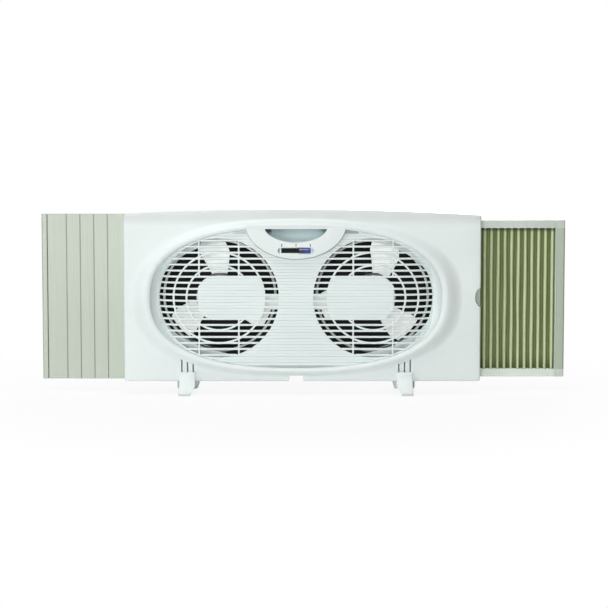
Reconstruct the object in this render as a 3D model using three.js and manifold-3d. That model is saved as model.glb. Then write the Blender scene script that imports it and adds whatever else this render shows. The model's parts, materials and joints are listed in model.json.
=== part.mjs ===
// Twin window fan with a rigid extension panel on its left and a pleated expander on its right.
// Millimetres, +Z up, the front looks along -Y, the floor under the feet is z = 0.
import * as THREE from 'three';
import { mergeVertices } from 'three/addons/utils/BufferGeometryUtils.js';
import Module from 'manifold-3d';

const wasm = await Module();
wasm.setup();

// ---- Driving dimensions -------------------------------------------------------------------

// Clearances between pieces that rest on, slide in or turn in one another
const REST_GAP = 0.3;
const SLIDE_GAP = 0.5;
const RUN_GAP = 0.08;

// Housing: a front tray and a smaller rear tray that meet behind the front rim
const HOUSING_WIDTH = 572;
const HOUSING_HEIGHT = 276.5;
const HOUSING_LIFT = 20.7;
const ARCH_RADIUS = 4800;
const FACE_Y = -38;
const SEAM_Y = -6;
const BACK_Y = 34;
const WALL = 2.4;
const EDGE_RADIUS = 3;
const EDGE_STEPS = 3;
const CORNER_TURN_DEG = 60;
const REAR_STEP = 6;
const FAN_SHIFT = -10.1;

// Oval bead around the grille and the funnel that leads back from it
const OVAL_POWER = 2.45;
const OVAL_CENTRE_Z = 156;
const BEAD_A = 265;
const BEAD_B = 125.5;
const RIM_A = 234;
const RIM_B = 113;
const BEAD_RISE = 12;
const BEAD_SWEEP_DEG = 130;
const FUNNEL_INSET = 13.5;
const FUNNEL_DEPTH = 22;
const OVAL_SEGMENTS = 44;
const BEAD_STEPS = 4;
const FUNNEL_STEPS = 3;

// Front grille: domed insert with two round openings
const GRILLE_Y = -42;
const DOME_START = 165;
const DOME_DROP = 16;
const DOME_RUN = 56;
const DOME_STEPS = 3;
const FAN_SPACING = 247;
const OPENING_RADIUS = 96;
const RIB_PITCH = 9.7;
const RIB_HEIGHT = 3;
const RIB_DEPTH = 5;
const RIB_PAIRS = 11;
const BACKING_SINK = 1.6;
const RING_RADII = [52, 73];
const RING_WIDTH = 3;
const UPRIGHT_OFFSET = 31.8;
const UPRIGHT_WIDTH = 2.6;
const HUB_RADIUS = 37.5;
const HUB_RIBS = 3.5;
const ROUND_SEGMENTS = 28;
const FIT_SEGMENTS = 20;
const MOTOR_SEGMENTS = 14;
const SMALL_SEGMENTS = 8;

// Control plate with its handle recess and switch
const PLATE_A = 81;
const PLATE_B = 59;
const PLATE_TOP_RISE = 122;
const PLATE_Y = -49.5;
const PLATE_REACH = 13.5;
const RECESS_A = 49.7;
const RECESS_B = 21.7;
const RECESS_TOP_RISE = 111;
const RECESS_DEPTH = 26;
const RECESS_TIP_DEG = 10;
const SWITCH_RISE = 76.6;
const SWITCH_PILL_LENGTH = 57;
const SWITCH_PILL_HEIGHT = 9.6;
const SWITCH_PILL_SINK = 1;
const SWITCH_SLOT_LENGTH = 47;
const SWITCH_SLOT_HEIGHT = 8;
const KNOB_LENGTH = 19;
const KNOB_RISE = 1.6;
const KNOB_BEVEL = 1.2;
const KNOB_STEM_INSET = 4;
const KNOB_STEM_REACH = 3;
const KNOB_STEM_HEIGHT = 2.8;
const SWITCH_BODY_HEIGHT = 13;
const SWITCH_BODY_DEPTH = 12;

// Notches and grooves in the front tray
const BOTTOM_NOTCH_WIDTH = 22.5;
const BOTTOM_NOTCH_HEIGHT = 9.3;
const THUMB_NOTCH_HEIGHT = 31;
const THUMB_NOTCH_DEPTH = 8.5;
const THUMB_NOTCH_REACH = 14;
const CLIP_SLOT_WIDTH = 2;
const CLIP_SLOT_PITCH = 9.1;
const CLIP_SLOT_HEIGHT = 23.5;
const CLIP_SLOT_MARGIN = 1;

// Housing screws and the posts they run into
const POST_RADIUS = 5;
const SCREW_RADIUS = 1.9;
const SCREW_HEAD_RADIUS = 3.4;
const SCREW_HEAD_HEIGHT = 2.4;
const SCREW_LENGTH = 44;
const POST_RISE = 95;
const POST_MARGIN = 2;

// Orifice plate with a ring around each impeller
const ORIFICE_RADIUS = 89.5;
const ORIFICE_WALL = 2.6;
const ORIFICE_FRONT_Y = -2;
const ORIFICE_PLATE_Y = 26;
const ORIFICE_HALF_HEIGHT = 104;

// Rear grille of overlapping rain louvres
const REAR_A = 222;
const REAR_B = 103;
const REAR_FRAME_WIDTH = 6;
const REAR_BACK_Y = 50;
const SLAT_PITCH = 14;
const SLAT_THICKNESS = 1.6;
const SLAT_OVERLAP = 2;

// Motors
const STATOR_RADIUS = 38;
const STATOR_LENGTH = 20;
const STATOR_FRONT_Y = -24;
const STATOR_YOKE = 6;
const POLE_WIDTH = 13;
const POLE_SHOE_DEPTH = 3.2;
const AIR_GAP = 0.5;
const ROTOR_RADIUS = 15.5;
const BELL_DEPTH = 9;
const BELL_WALL = 1.8;
const BELL_RADIUS = 34;
const SHAFT_RADIUS = 3;
const BEARING_RADIUS = 6.5;
const BEARING_LENGTH = 6;
const BOLT_RADIUS = 1.6;
const BOLT_CIRCLE = 30;
const BOLT_ANGLES_DEG = [45, 225];
const BOLT_END = 2.2;
const BOLT_EAR = 2.2;
const END_TURN_REACH = 5;
const TURN_GAP = 0.7;
const BRACKET_RADIUS = 36;
const BRACKET_THICKNESS = 2.5;
const DUCT_REACH = 100;
const DUCT_TOP = 4;
const DUCT_BOTTOM = -19;
const DUCT_DEPTH = 6;

// Impellers
const BLADE_COUNT = 3;
const BLADE_TIP_RADIUS = 86;
const BLADE_SWEEP_DEG = 46;
const BLADE_LEAN_DEG = 12;
const BLADE_DEPTH = 20;
const BLADE_THICKNESS = 1.8;
const IMPELLER_HUB_RADIUS = 21;
const IMPELLER_HUB_DEPTH = 20;
const NUT_RADIUS = 6;
const NUT_LENGTH = 6;
const NUT_CAP = 1.5;

// Rigid panel on the left
const PANEL_REACH = 134.7;
const PANEL_FRONT_Y = -5.6;
const PANEL_DEPTH = 10;
const PANEL_TOP_DROP = 1;
const PANEL_TONGUE = 18;
const PANEL_TONGUE_MARGIN = 8;
const PANEL_GROOVE_PITCH = 22;
const PANEL_GROOVE_FIRST = 28.4;
const PANEL_GROOVE_WIDTH = 1.4;
const PANEL_GROOVE_SINK = 1.2;
const END_CAP_WIDTH = 8.9;

// Pleated expander on the right
const EXPANDER_REACH = 138.3;
const EXPANDER_SILL_RISE = 3.1;
const EXPANDER_TOP_DROP = 19;
const RAIL_HEIGHT = 12.5;
const END_RAIL_WIDTH = 15.4;
const RAIL_INSERT = 30;
const PLEAT_COUNT = 13;
const PLEAT_PITCH = 10.9;
const PLEAT_DEPTH = 8;
const PLEAT_THICKNESS = 0.8;
const ANCHOR_WIDTH = 4;

// Feet
const FOOT_LENGTH = 124;
const FOOT_WIDTH = 24;
const FOOT_FLARE = 1.5;
const FOOT_INSET = 111.5;
const FOOT_TAB_HEIGHT = 36;
const FOOT_TAB_DEPTH = 5;
const FOOT_TOE_HEIGHT = 7;
const FOOT_CUT_WIDTH = 8;
const FOOT_CUT_HEIGHT = 14;
const FOOT_ROUND = 1.5;
const FOOT_WING = 4.8;
const FOOT_WING_LENGTH = 62;
const FOOT_WING_BOTTOM = 7.5;
const FOOT_WING_ROUND = 4;

// Cord inlet
const GLAND_RADIUS = 6.5;
const GLAND_BORE = 3.4;
const GLAND_LENGTH = 7;
const GLAND_RISE = 17;

// ---- Worked-out values --------------------------------------------------------------------

const HALF_WIDTH = HOUSING_WIDTH / 2;
const CUT_FRONT_Y = FACE_Y - 2 * BEAD_RISE;
const FUNNEL_Y = FACE_Y - BEAD_RISE * Math.sin(THREE.MathUtils.degToRad(BEAD_SWEEP_DEG));
const STATOR_BACK_Y = STATOR_FRONT_Y + STATOR_LENGTH;
const BOLT_HEAD_Y = STATOR_BACK_Y + BELL_DEPTH + 2 * REST_GAP;
const IMPELLER_FRONT_Y = BOLT_HEAD_Y + BOLT_END + TURN_GAP;
const NUT_FRONT_Y = IMPELLER_FRONT_Y + IMPELLER_HUB_DEPTH + REST_GAP;
const SLAT_FRONT_Y = Math.max(BACK_Y + REST_GAP + 1, NUT_FRONT_Y + NUT_LENGTH + TURN_GAP);
const FAN_X = [FAN_SHIFT - FAN_SPACING / 2, FAN_SHIFT + FAN_SPACING / 2];
const SIDES = ['left', 'right'];
const PLATE_CENTRE_Z = OVAL_CENTRE_Z + PLATE_TOP_RISE;
const RECESS_TOP_Z = OVAL_CENTRE_Z + RECESS_TOP_RISE;
const SWITCH_Z = OVAL_CENTRE_Z + SWITCH_RISE;
const PANEL_BACK_Y = PANEL_FRONT_Y + PANEL_DEPTH;
const REAR_HALF_WIDTH = HALF_WIDTH - REAR_STEP;
const POST_X_LEFT = -REAR_HALF_WIDTH + PANEL_TONGUE + POST_MARGIN + POST_RADIUS;
const POST_X_RIGHT = HALF_WIDTH - RAIL_INSERT - POST_MARGIN - POST_RADIUS;
const CURTAIN_END_X = HALF_WIDTH + EXPANDER_REACH - END_RAIL_WIDTH - REST_GAP;
const CURTAIN_START_X = CURTAIN_END_X - PLEAT_COUNT * PLEAT_PITCH;
const EXPANDER_BOTTOM = HOUSING_LIFT + EXPANDER_SILL_RISE;
const EXPANDER_TOP = HOUSING_LIFT + HOUSING_HEIGHT - EXPANDER_TOP_DROP;
const FOOT_SPACING = HOUSING_WIDTH - 2 * FOOT_INSET;
const CENTRING_X = (PANEL_REACH - EXPANDER_REACH) / 2;

// ---- Materials ----------------------------------------------------------------------------

const plastic = (colour, roughness = 0.5) => ({ colour, roughness, metalness: 0 });
const metal = (colour, roughness = 0.4) => ({ colour, roughness, metalness: 1 });
const WHITE = plastic(0xe6ebec, 0.42);
const BLADE_WHITE = plastic(0xf2f3f0, 0.4);
const BEIGE = plastic(0xc7cec1, 0.6);
const RAIL_GREY = plastic(0xccd4ce, 0.5);
const OLIVE = plastic(0xaab07f, 0.8);
const BLACK = plastic(0x14171a, 0.55);
const BLUE = plastic(0x1c4fc4, 0.2);
const STEEL = metal(0xb4b8bb, 0.35);
const CORE_STEEL = metal(0x6d7276, 0.55);
const ZINC = metal(0x9ea3a6, 0.5);
const COPPER = metal(0xb5683a, 0.45);
const BRONZE = metal(0xa98a55, 0.5);
const BRASS = metal(0xc2a14d, 0.35);

// ---- Solid helpers ------------------------------------------------------------------------

// Turns a three.js geometry into a solid that can be joined and cut.
function solid(geometry) {
  geometry.deleteAttribute('normal');
  geometry.deleteAttribute('uv');
  const merged = mergeVertices(geometry, 1e-4);
  return new wasm.Manifold(new wasm.Mesh({
    numProp: 3,
    vertProperties: merged.attributes.position.array,
    triVerts: new Uint32Array(merged.index.array),
  }));
}

const join = (parts) => parts.reduce((sum, part) => sum.add(part));

// Makes the finished mesh of one node, moved so that the whole part is centred.
function node(name, shape, look) {
  const { vertProperties, triVerts } = shape.getMesh();
  const geometry = new THREE.BufferGeometry();
  geometry.setAttribute('position', new THREE.BufferAttribute(vertProperties, 3));
  geometry.setIndex(new THREE.BufferAttribute(triVerts, 1));
  geometry.translate(CENTRING_X, 0, 0);
  geometry.computeVertexNormals();
  const material = new THREE.MeshStandardMaterial({
    color: look.colour,
    roughness: look.roughness,
    metalness: look.metalness,
  });
  const mesh = new THREE.Mesh(geometry, material);
  mesh.name = name;
  return mesh;
}

function box(x0, x1, y0, y1, z0, z1) {
  const geometry = new THREE.BoxGeometry(x1 - x0, y1 - y0, z1 - z0);
  geometry.translate((x0 + x1) / 2, (y0 + y1) / 2, (z0 + z1) / 2);
  return solid(geometry);
}

// Closed skin over rows of matching points; the two end rows are capped as flat outlines.
function loft(rows, flatAxes) {
  const count = rows[0].length;
  const positions = rows.flat(2);
  const index = [];
  for (let row = 0; row + 1 < rows.length; row += 1) {
    for (let i = 0; i < count; i += 1) {
      const a = row * count + i;
      const b = row * count + ((i + 1) % count);
      index.push(a, b, b + count, a, b + count, a + count);
    }
  }
  const capOf = (row) => {
    const outline = row.map((point) => new THREE.Vector2(point[flatAxes[0]], point[flatAxes[1]]));
    const faces = THREE.ShapeUtils.triangulateShape(outline, []);
    return THREE.ShapeUtils.isClockWise(outline) ? faces.map((face) => [...face].reverse()) : faces;
  };
  const last = (rows.length - 1) * count;
  capOf(rows[0]).forEach(([a, b, c]) => index.push(c, b, a));
  capOf(rows[rows.length - 1]).forEach(([a, b, c]) => index.push(last + a, last + b, last + c));
  if (signedVolume(positions, index) < 0) {
    index.reverse();
  }
  const geometry = new THREE.BufferGeometry();
  geometry.setAttribute('position', new THREE.Float32BufferAttribute(positions, 3));
  geometry.setIndex(index);
  return solid(geometry);
}

function signedVolume(positions, index) {
  const corner = (i) => new THREE.Vector3().fromArray(positions, 3 * index[i]);
  let volume = 0;
  for (let i = 0; i < index.length; i += 3) {
    volume += corner(i).dot(corner(i + 1).cross(corner(i + 2)));
  }
  return volume;
}

// Outline in x and z, pulled out along y.
function prismY(outline, y0, y1) {
  const row = (y) => outline.map(([x, z]) => [x, y, z]);
  return loft([row(y0), row(y1)], [0, 2]);
}

// Outline in x and y, pulled out along z.
function prismZ(outline, z0, z1) {
  const row = (z) => outline.map(([x, y]) => [x, y, z]);
  return loft([row(z0), row(z1)], [0, 1]);
}

// Outline in y and z, pulled out along x.
function prismX(outline, x0, x1) {
  const row = (x) => outline.map(([y, z]) => [x, y, z]);
  return loft([row(x0), row(x1)], [1, 2]);
}

function arcPoints(x, z, a, b, startDeg, endDeg, steps) {
  return Array.from({ length: steps + 1 }, (_, i) => {
    const angle = THREE.MathUtils.degToRad(startDeg + ((endDeg - startDeg) * i) / steps);
    return [x + a * Math.cos(angle), z + b * Math.sin(angle)];
  });
}

function circle(x, z, radius, steps = ROUND_SEGMENTS) {
  return arcPoints(x, z, radius, radius, 0, 360, steps).slice(0, steps);
}

function rodY(x, z, radius, y0, y1, steps = FIT_SEGMENTS) {
  return prismY(circle(x, z, radius, steps), y0, y1);
}

function tubeY(x, z, outer, inner, y0, y1, steps = ROUND_SEGMENTS) {
  return rodY(x, z, outer, y0, y1, steps).subtract(rodY(x, z, inner, y0 - 1, y1 + 1, steps));
}

// Solid of revolution about the y axis through x, z; the profile is radius and y pairs.
function turned(x, z, profile, steps = 32) {
  const points = profile.map(([radius, y]) => new THREE.Vector2(radius, y));
  const geometry = new THREE.LatheGeometry(points, steps);
  geometry.translate(x, 0, z);
  const shape = mergeVertices(geometry, 1e-4);
  const positions = Array.from(shape.attributes.position.array);
  const index = Array.from(shape.index.array);
  if (signedVolume(positions, index) < 0) {
    index.reverse();
  }
  shape.setIndex(index);
  return solid(shape);
}

function halfEllipse(x, z, a, b, steps = 18) {
  return arcPoints(x, z, a, b, 180, 360, steps);
}

function pill(x, z, length, height, steps = 5) {
  const radius = height / 2;
  const reach = length / 2 - radius;
  return [
    ...arcPoints(x + reach, z, radius, radius, -90, 90, steps),
    ...arcPoints(x - reach, z, radius, radius, 90, 270, steps),
  ];
}

// ---- Shared outlines ----------------------------------------------------------------------

const archTop = (x) => HOUSING_LIFT + HOUSING_HEIGHT - (x - FAN_SHIFT) ** 2 / (2 * ARCH_RADIUS);
const PANEL_TOP = archTop(-HALF_WIDTH) - PANEL_TOP_DROP;
const TONGUE_BOTTOM = HOUSING_LIFT + PANEL_TONGUE_MARGIN;
const TONGUE_TOP = PANEL_TOP - REAR_STEP - PANEL_TONGUE_MARGIN;

// Front view of the housing, drawn in by an inset; its corners are rounded.
function housingOutline(inset, sideInset = inset, bottomInset = inset) {
  const half = HALF_WIDTH - sideInset;
  const bottom = HOUSING_LIFT + bottomInset;
  const top = (x) => archTop(x) - inset;
  const r = EDGE_RADIUS;
  const archSteps = 10;
  const arch = Array.from({ length: archSteps + 1 }, (_, i) => {
    const x = (half - r) * (1 - (2 * i) / archSteps);
    return [x, top(x)];
  });
  return [
    ...arcPoints(-half + r, bottom + r, r, r, 180, 270, 3),
    ...arcPoints(half - r, bottom + r, r, r, 270, 360, 3),
    ...arcPoints(half - r, top(half - r) - r, r, r, 0, CORNER_TURN_DEG, 2),
    ...arch,
    ...arcPoints(-half + r, top(-half + r) - r, r, r, 180 - CORNER_TURN_DEG, 180, 2),
  ];
}

function ovalRow(a, b, y, segments = OVAL_SEGMENTS) {
  return Array.from({ length: segments }, (_, i) => {
    const angle = (2 * Math.PI * i) / segments;
    const c = Math.cos(angle);
    const s = Math.sin(angle);
    const grow = (Math.abs(c) ** OVAL_POWER + Math.abs(s) ** OVAL_POWER) ** (-1 / OVAL_POWER);
    return [FAN_SHIFT + a * grow * c, y, OVAL_CENTRE_Z + b * grow * s];
  });
}

// Funnel behind the bead, a quarter of an ellipse in section: it drops steeply at the rim and
// runs out flat where it meets the grille.
function funnelRows(offset, startY, endY) {
  const rows = Array.from({ length: FUNNEL_STEPS + 1 }, (_, i) => {
    const angle = (Math.PI / 2) * (i / FUNNEL_STEPS);
    const inset = FUNNEL_INSET * (1 - Math.cos(angle)) - offset;
    return ovalRow(RIM_A - inset, RIM_B - inset, FUNNEL_Y + FUNNEL_DEPTH * Math.sin(angle));
  });
  rows.unshift(ovalRow(RIM_A + offset, RIM_B + offset, startY));
  rows.push(ovalRow(RIM_A - FUNNEL_INSET + offset, RIM_B - FUNNEL_INSET + offset, endY));
  return rows;
}

// How far the dome of the grille has dropped back at x.
function domeDrop(x) {
  const past = Math.max(0, Math.abs(x - FAN_SHIFT) - DOME_START);
  return DOME_DROP * (past / DOME_RUN) ** 2;
}

// Slice of the domed grille: full width, between two depths behind its front.
function domedSlice(front, back, z0, z1) {
  const reach = DOME_RUN * 1.2;
  const stops = Array.from({ length: DOME_STEPS + 1 }, (_, i) => DOME_START + (reach * i) / DOME_STEPS);
  const xs = [...stops.map((s) => FAN_SHIFT - s).reverse(), ...stops.map((s) => FAN_SHIFT + s)];
  const edge = (depth) => xs.map((x) => [x, GRILLE_Y + depth + domeDrop(x)]);
  return prismZ([...edge(front), ...edge(back).reverse()], z0, z1);
}

// ---- Front tray ---------------------------------------------------------------------------

function trayShell() {
  const row = (inset, y) => housingOutline(inset).map(([x, z]) => [x, y, z]);
  const fillet = Array.from({ length: EDGE_STEPS + 1 }, (_, i) => {
    const angle = (Math.PI / 2) * (1 - i / EDGE_STEPS);
    return row(EDGE_RADIUS * (1 - Math.cos(angle)), FACE_Y + EDGE_RADIUS * (1 - Math.sin(angle)));
  });
  const outer = loft([...fillet, row(0, SEAM_Y)], [0, 2]);
  return outer.subtract(prismY(housingOutline(WALL), FACE_Y + WALL, SEAM_Y + 1));
}

function beadRing() {
  const rows = Array.from({ length: BEAD_STEPS + 1 }, (_, i) => {
    const angle = THREE.MathUtils.degToRad((BEAD_SWEEP_DEG * i) / BEAD_STEPS);
    const end = 1 - Math.cos(THREE.MathUtils.degToRad(BEAD_SWEEP_DEG));
    const share = (1 - Math.cos(angle)) / end;
    const a = THREE.MathUtils.lerp(BEAD_A, RIM_A, share);
    const b = THREE.MathUtils.lerp(BEAD_B, RIM_B, share);
    return ovalRow(a, b, FACE_Y - BEAD_RISE * Math.sin(angle));
  });
  return loft([ovalRow(BEAD_A, BEAD_B, FACE_Y + WALL / 2), ...rows], [0, 2]);
}

function funnelSkirt() {
  const endY = FUNNEL_Y + FUNNEL_DEPTH;
  return loft(funnelRows(WALL, FUNNEL_Y, endY).slice(1, -1), [0, 2]);
}

const funnelHole = () => loft(
  funnelRows(0, FACE_Y - BEAD_RISE - 2, FUNNEL_Y + FUNNEL_DEPTH + 1), [0, 2]);

function controlPlate() {
  const back = PLATE_Y + PLATE_REACH;
  const plate = prismY(halfEllipse(FAN_SHIFT, PLATE_CENTRE_Z, PLATE_A, PLATE_B), PLATE_Y, back);
  const inside = halfEllipse(FAN_SHIFT, PLATE_CENTRE_Z, PLATE_A - WALL, PLATE_B - WALL);
  const hollow = prismY(inside, PLATE_Y + WALL, back + 1)
    .subtract(box(-HALF_WIDTH, HALF_WIDTH, CUT_FRONT_Y, BACK_Y, RECESS_TOP_Z, PLATE_CENTRE_Z + 10));
  const cup = halfEllipse(FAN_SHIFT, RECESS_TOP_Z, RECESS_A + WALL, RECESS_B + WALL);
  const cupBack = PLATE_Y + RECESS_DEPTH + WALL;
  const lid = box(FAN_SHIFT - RECESS_A - WALL, FAN_SHIFT + RECESS_A + WALL, PLATE_Y, cupBack,
    RECESS_TOP_Z - 1, RECESS_TOP_Z + WALL);
  return plate.subtract(hollow).add(prismY(cup, PLATE_Y, cupBack)).add(lid);
}

// Outline of the finger recess: less than half of an ellipse, so that its two tips are pointed.
function recessOutline(scale) {
  const tip = THREE.MathUtils.degToRad(RECESS_TIP_DEG);
  const a = (RECESS_A * scale) / Math.cos(tip);
  const b = (RECESS_B * scale) / (1 - Math.sin(tip));
  const z = RECESS_TOP_Z + b * Math.sin(tip);
  return arcPoints(FAN_SHIFT, z, a, b, 180 + RECESS_TIP_DEG, 360 - RECESS_TIP_DEG, 16);
}

function recessHollow() {
  const row = (scale, y) => recessOutline(scale).map(([x, z]) => [x, y, z]);
  const bowl = [15, 30, 45, 60, 73].map((deg) => {
    const angle = THREE.MathUtils.degToRad(deg);
    return row(Math.cos(angle), PLATE_Y + RECESS_DEPTH * Math.sin(angle));
  });
  return loft([row(1, FACE_Y - BEAD_RISE - 1), row(1, PLATE_Y + 1), ...bowl], [0, 2]);
}

function switchOpenings() {
  const front = PLATE_Y - 1;
  const dish = pill(FAN_SHIFT, SWITCH_Z, SWITCH_PILL_LENGTH, SWITCH_PILL_HEIGHT);
  return prismY(dish, front, PLATE_Y + SWITCH_PILL_SINK).add(box(
    FAN_SHIFT - SWITCH_SLOT_LENGTH / 2, FAN_SHIFT + SWITCH_SLOT_LENGTH / 2, front, PLATE_Y + WALL + 1,
    SWITCH_Z - SWITCH_SLOT_HEIGHT / 2, SWITCH_Z + SWITCH_SLOT_HEIGHT / 2));
}

const footX = (side) => FAN_SHIFT + (side * FOOT_SPACING) / 2;

// Three slots above each foot, through the face, that its clip springs into.
function clipSlots() {
  const slots = [];
  [-1, 1].forEach((side) => {
    [-1, 0, 1].forEach((step) => {
      const x = footX(side) + step * CLIP_SLOT_PITCH;
      const low = FOOT_TAB_HEIGHT - CLIP_SLOT_MARGIN;
      slots.push(box(x - CLIP_SLOT_WIDTH / 2, x + CLIP_SLOT_WIDTH / 2, FACE_Y - 1,
        FACE_Y + WALL + 1, low, low + CLIP_SLOT_HEIGHT));
    });
  });
  return join(slots);
}

function bottomNotch() {
  return box(FAN_SHIFT - BOTTOM_NOTCH_WIDTH / 2, FAN_SHIFT + BOTTOM_NOTCH_WIDTH / 2,
    FACE_Y - 1, SEAM_Y + 1, HOUSING_LIFT - 1, HOUSING_LIFT + BOTTOM_NOTCH_HEIGHT);
}

// Half oval closed at x = `side`, its outline grown by `grow`, from y0 to y1.
function thumbNotch(grow, side, y0, y1) {
  const reach = side - HALF_WIDTH + THUMB_NOTCH_DEPTH + grow;
  const half = THUMB_NOTCH_HEIGHT / 2 + grow;
  return prismY(arcPoints(side, OVAL_CENTRE_Z, reach, half, 90, 270, 12), y0, y1);
}

const postPlaces = () => [POST_X_LEFT, POST_X_RIGHT].flatMap(
  (x) => [-1, 1].map((side) => [x, OVAL_CENTRE_Z + side * POST_RISE]));

function frontHousing() {
  const posts = postPlaces().map(([x, z]) => rodY(
    x, z, POST_RADIUS, FACE_Y + WALL / 2, SEAM_Y, SMALL_SEGMENTS));
  const pilots = postPlaces().map(([x, z]) => rodY(
    x, z, SCREW_RADIUS + REST_GAP, FACE_Y + 2 * WALL, SEAM_Y + 1, SMALL_SEGMENTS));
  const thumbWall = thumbNotch(WALL, HALF_WIDTH - WALL / 2, FACE_Y + WALL / 2,
    FACE_Y + THUMB_NOTCH_REACH + WALL);
  const thumbHollow = thumbNotch(0, HALF_WIDTH + 1, FACE_Y - 1, FACE_Y + THUMB_NOTCH_REACH);
  const body = trayShell().add(beadRing()).add(funnelSkirt()).subtract(funnelHole())
    .add(controlPlate()).add(thumbWall).add(join(posts));
  const cut = join([recessHollow(), switchOpenings(), clipSlots(), bottomNotch(), thumbHollow, ...pilots]);
  return node('front_housing', body.subtract(cut), WHITE);
}

// ---- Front grille -------------------------------------------------------------------------

const inward = (i) => (i === 0 ? 1 : -1);

// Closed patch in front of one motor: a disc with an arm toward the middle of the fan.
function hubPatch(i) {
  const x = FAN_X[i];
  const half = HUB_RIBS * RIB_PITCH + RIB_HEIGHT / 2;
  const outerRing = RING_RADII[RING_RADII.length - 1] + RING_WIDTH / 2;
  const disc = rodY(x, OVAL_CENTRE_Z, HUB_RADIUS, CUT_FRONT_Y, BACK_Y, ROUND_SEGMENTS);
  const armEnd = x + inward(i) * OPENING_RADIUS;
  const arm = box(Math.min(x, armEnd), Math.max(x, armEnd), CUT_FRONT_Y, BACK_Y,
    OVAL_CENTRE_Z - half, OVAL_CENTRE_Z + half);
  const flank = x - inward(i) * (UPRIGHT_OFFSET + UPRIGHT_WIDTH / 2);
  const keep = box(Math.min(flank, armEnd), Math.max(flank, armEnd), CUT_FRONT_Y, BACK_Y,
    OVAL_CENTRE_Z - half, OVAL_CENTRE_Z + half);
  return disc.add(arm).intersect(keep)
    .intersect(rodY(x, OVAL_CENTRE_Z, outerRing, CUT_FRONT_Y, BACK_Y, ROUND_SEGMENTS));
}

// Rings and uprights that cross one round opening.
function openingBars(i) {
  const x = FAN_X[i];
  const rings = RING_RADII.map((radius) => tubeY(
    x, OVAL_CENTRE_Z, radius + RING_WIDTH / 2, radius - RING_WIDTH / 2, CUT_FRONT_Y, BACK_Y));
  const uprights = [-1, 1].map((side) => box(
    x + side * UPRIGHT_OFFSET - UPRIGHT_WIDTH / 2, x + side * UPRIGHT_OFFSET + UPRIGHT_WIDTH / 2,
    CUT_FRONT_Y, BACK_Y, OVAL_CENTRE_Z - OPENING_RADIUS, OVAL_CENTRE_Z + OPENING_RADIUS));
  return join([...rings, ...uprights])
    .intersect(rodY(x, OVAL_CENTRE_Z, OPENING_RADIUS + 1, CUT_FRONT_Y, BACK_Y, ROUND_SEGMENTS));
}

function frontGrille() {
  const low = OVAL_CENTRE_Z - RIM_B;
  const high = OVAL_CENTRE_Z + RIM_B;
  const hubs = join([0, 1].map(hubPatch));
  const openings = join(FAN_X.map((x) => rodY(
    x, OVAL_CENTRE_Z, OPENING_RADIUS, CUT_FRONT_Y, BACK_Y, ROUND_SEGMENTS)));
  const backing = domedSlice(BACKING_SINK, RIB_DEPTH, low, high).subtract(openings.subtract(hubs));
  const bars = domedSlice(0, RIB_DEPTH, low, high)
    .intersect(join([0, 1].map(openingBars)).subtract(hubs));
  const ribs = Array.from({ length: 2 * RIB_PAIRS }, (_, k) => {
    const z = OVAL_CENTRE_Z + (k - RIB_PAIRS + 0.5) * RIB_PITCH;
    return domedSlice(0, RIB_DEPTH, z - RIB_HEIGHT / 2, z + RIB_HEIGHT / 2);
  });
  const rim = loft(funnelRows(-REST_GAP, FACE_Y - BEAD_RISE - 2, BACK_Y), [0, 2]);
  const plateGap = prismY(halfEllipse(
    FAN_SHIFT, PLATE_CENTRE_Z, PLATE_A + REST_GAP, PLATE_B + REST_GAP), CUT_FRONT_Y, BACK_Y);
  const sheet = join([backing, bars, ...ribs]).intersect(rim).subtract(plateGap);
  return node('front_grille', sheet, WHITE);
}

// ---- Rear tray, orifice plate and rear grille ---------------------------------------------

const rearOutline = (inset) => housingOutline(REAR_STEP + inset, REAR_STEP + inset, inset);

// Slot in a side wall, open to the seam, for the panel tongue or the expander.
function sideSlot(side, z0, z1) {
  const x = side * REAR_HALF_WIDTH;
  return box(Math.min(x - side * 2 * WALL, x + side), Math.max(x - side * 2 * WALL, x + side),
    SEAM_Y - 1, PANEL_BACK_Y + SLIDE_GAP, z0 - SLIDE_GAP, z1 + SLIDE_GAP);
}

function rearHousing() {
  const front = SEAM_Y + REST_GAP;
  const shell = prismY(rearOutline(0), front, BACK_Y)
    .subtract(prismY(rearOutline(WALL), front - 1, BACK_Y - WALL));
  const window = loft([BACK_Y - 2 * WALL, BACK_Y + 1].map(
    (y) => ovalRow(REAR_A, REAR_B, y, ROUND_SEGMENTS)), [0, 2]);
  const posts = postPlaces().map(([x, z]) => rodY(
    x, z, POST_RADIUS, front, BACK_Y - WALL / 2, SMALL_SEGMENTS));
  const bulkheadX = CURTAIN_START_X - ANCHOR_WIDTH - REST_GAP;
  const bulkhead = box(bulkheadX - WALL, bulkheadX, front, BACK_Y - WALL / 2,
    EXPANDER_BOTTOM + RAIL_HEIGHT + 2 * SLIDE_GAP, EXPANDER_TOP - RAIL_HEIGHT - 2 * SLIDE_GAP);
  const bores = postPlaces().flatMap(([x, z]) => [
    rodY(x, z, SCREW_RADIUS + REST_GAP, front - 1, BACK_Y + 1, SMALL_SEGMENTS),
    rodY(x, z, SCREW_HEAD_RADIUS + REST_GAP, BACK_Y - 2 * WALL, BACK_Y + 1, SMALL_SEGMENTS),
  ]);
  const body = shell.subtract(window).add(join(posts)).add(bulkhead);
  const inlet = rodY(FAN_SHIFT, HOUSING_LIFT + GLAND_RISE, GLAND_RADIUS - 2 + REST_GAP,
    BACK_Y - 2 * WALL, BACK_Y + 1, MOTOR_SEGMENTS);
  return node('rear_housing', body.subtract(join([...bores, inlet,
    sideSlot(-1, TONGUE_BOTTOM, TONGUE_TOP),
    sideSlot(1, EXPANDER_BOTTOM, EXPANDER_TOP),
  ])), WHITE);
}

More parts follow.
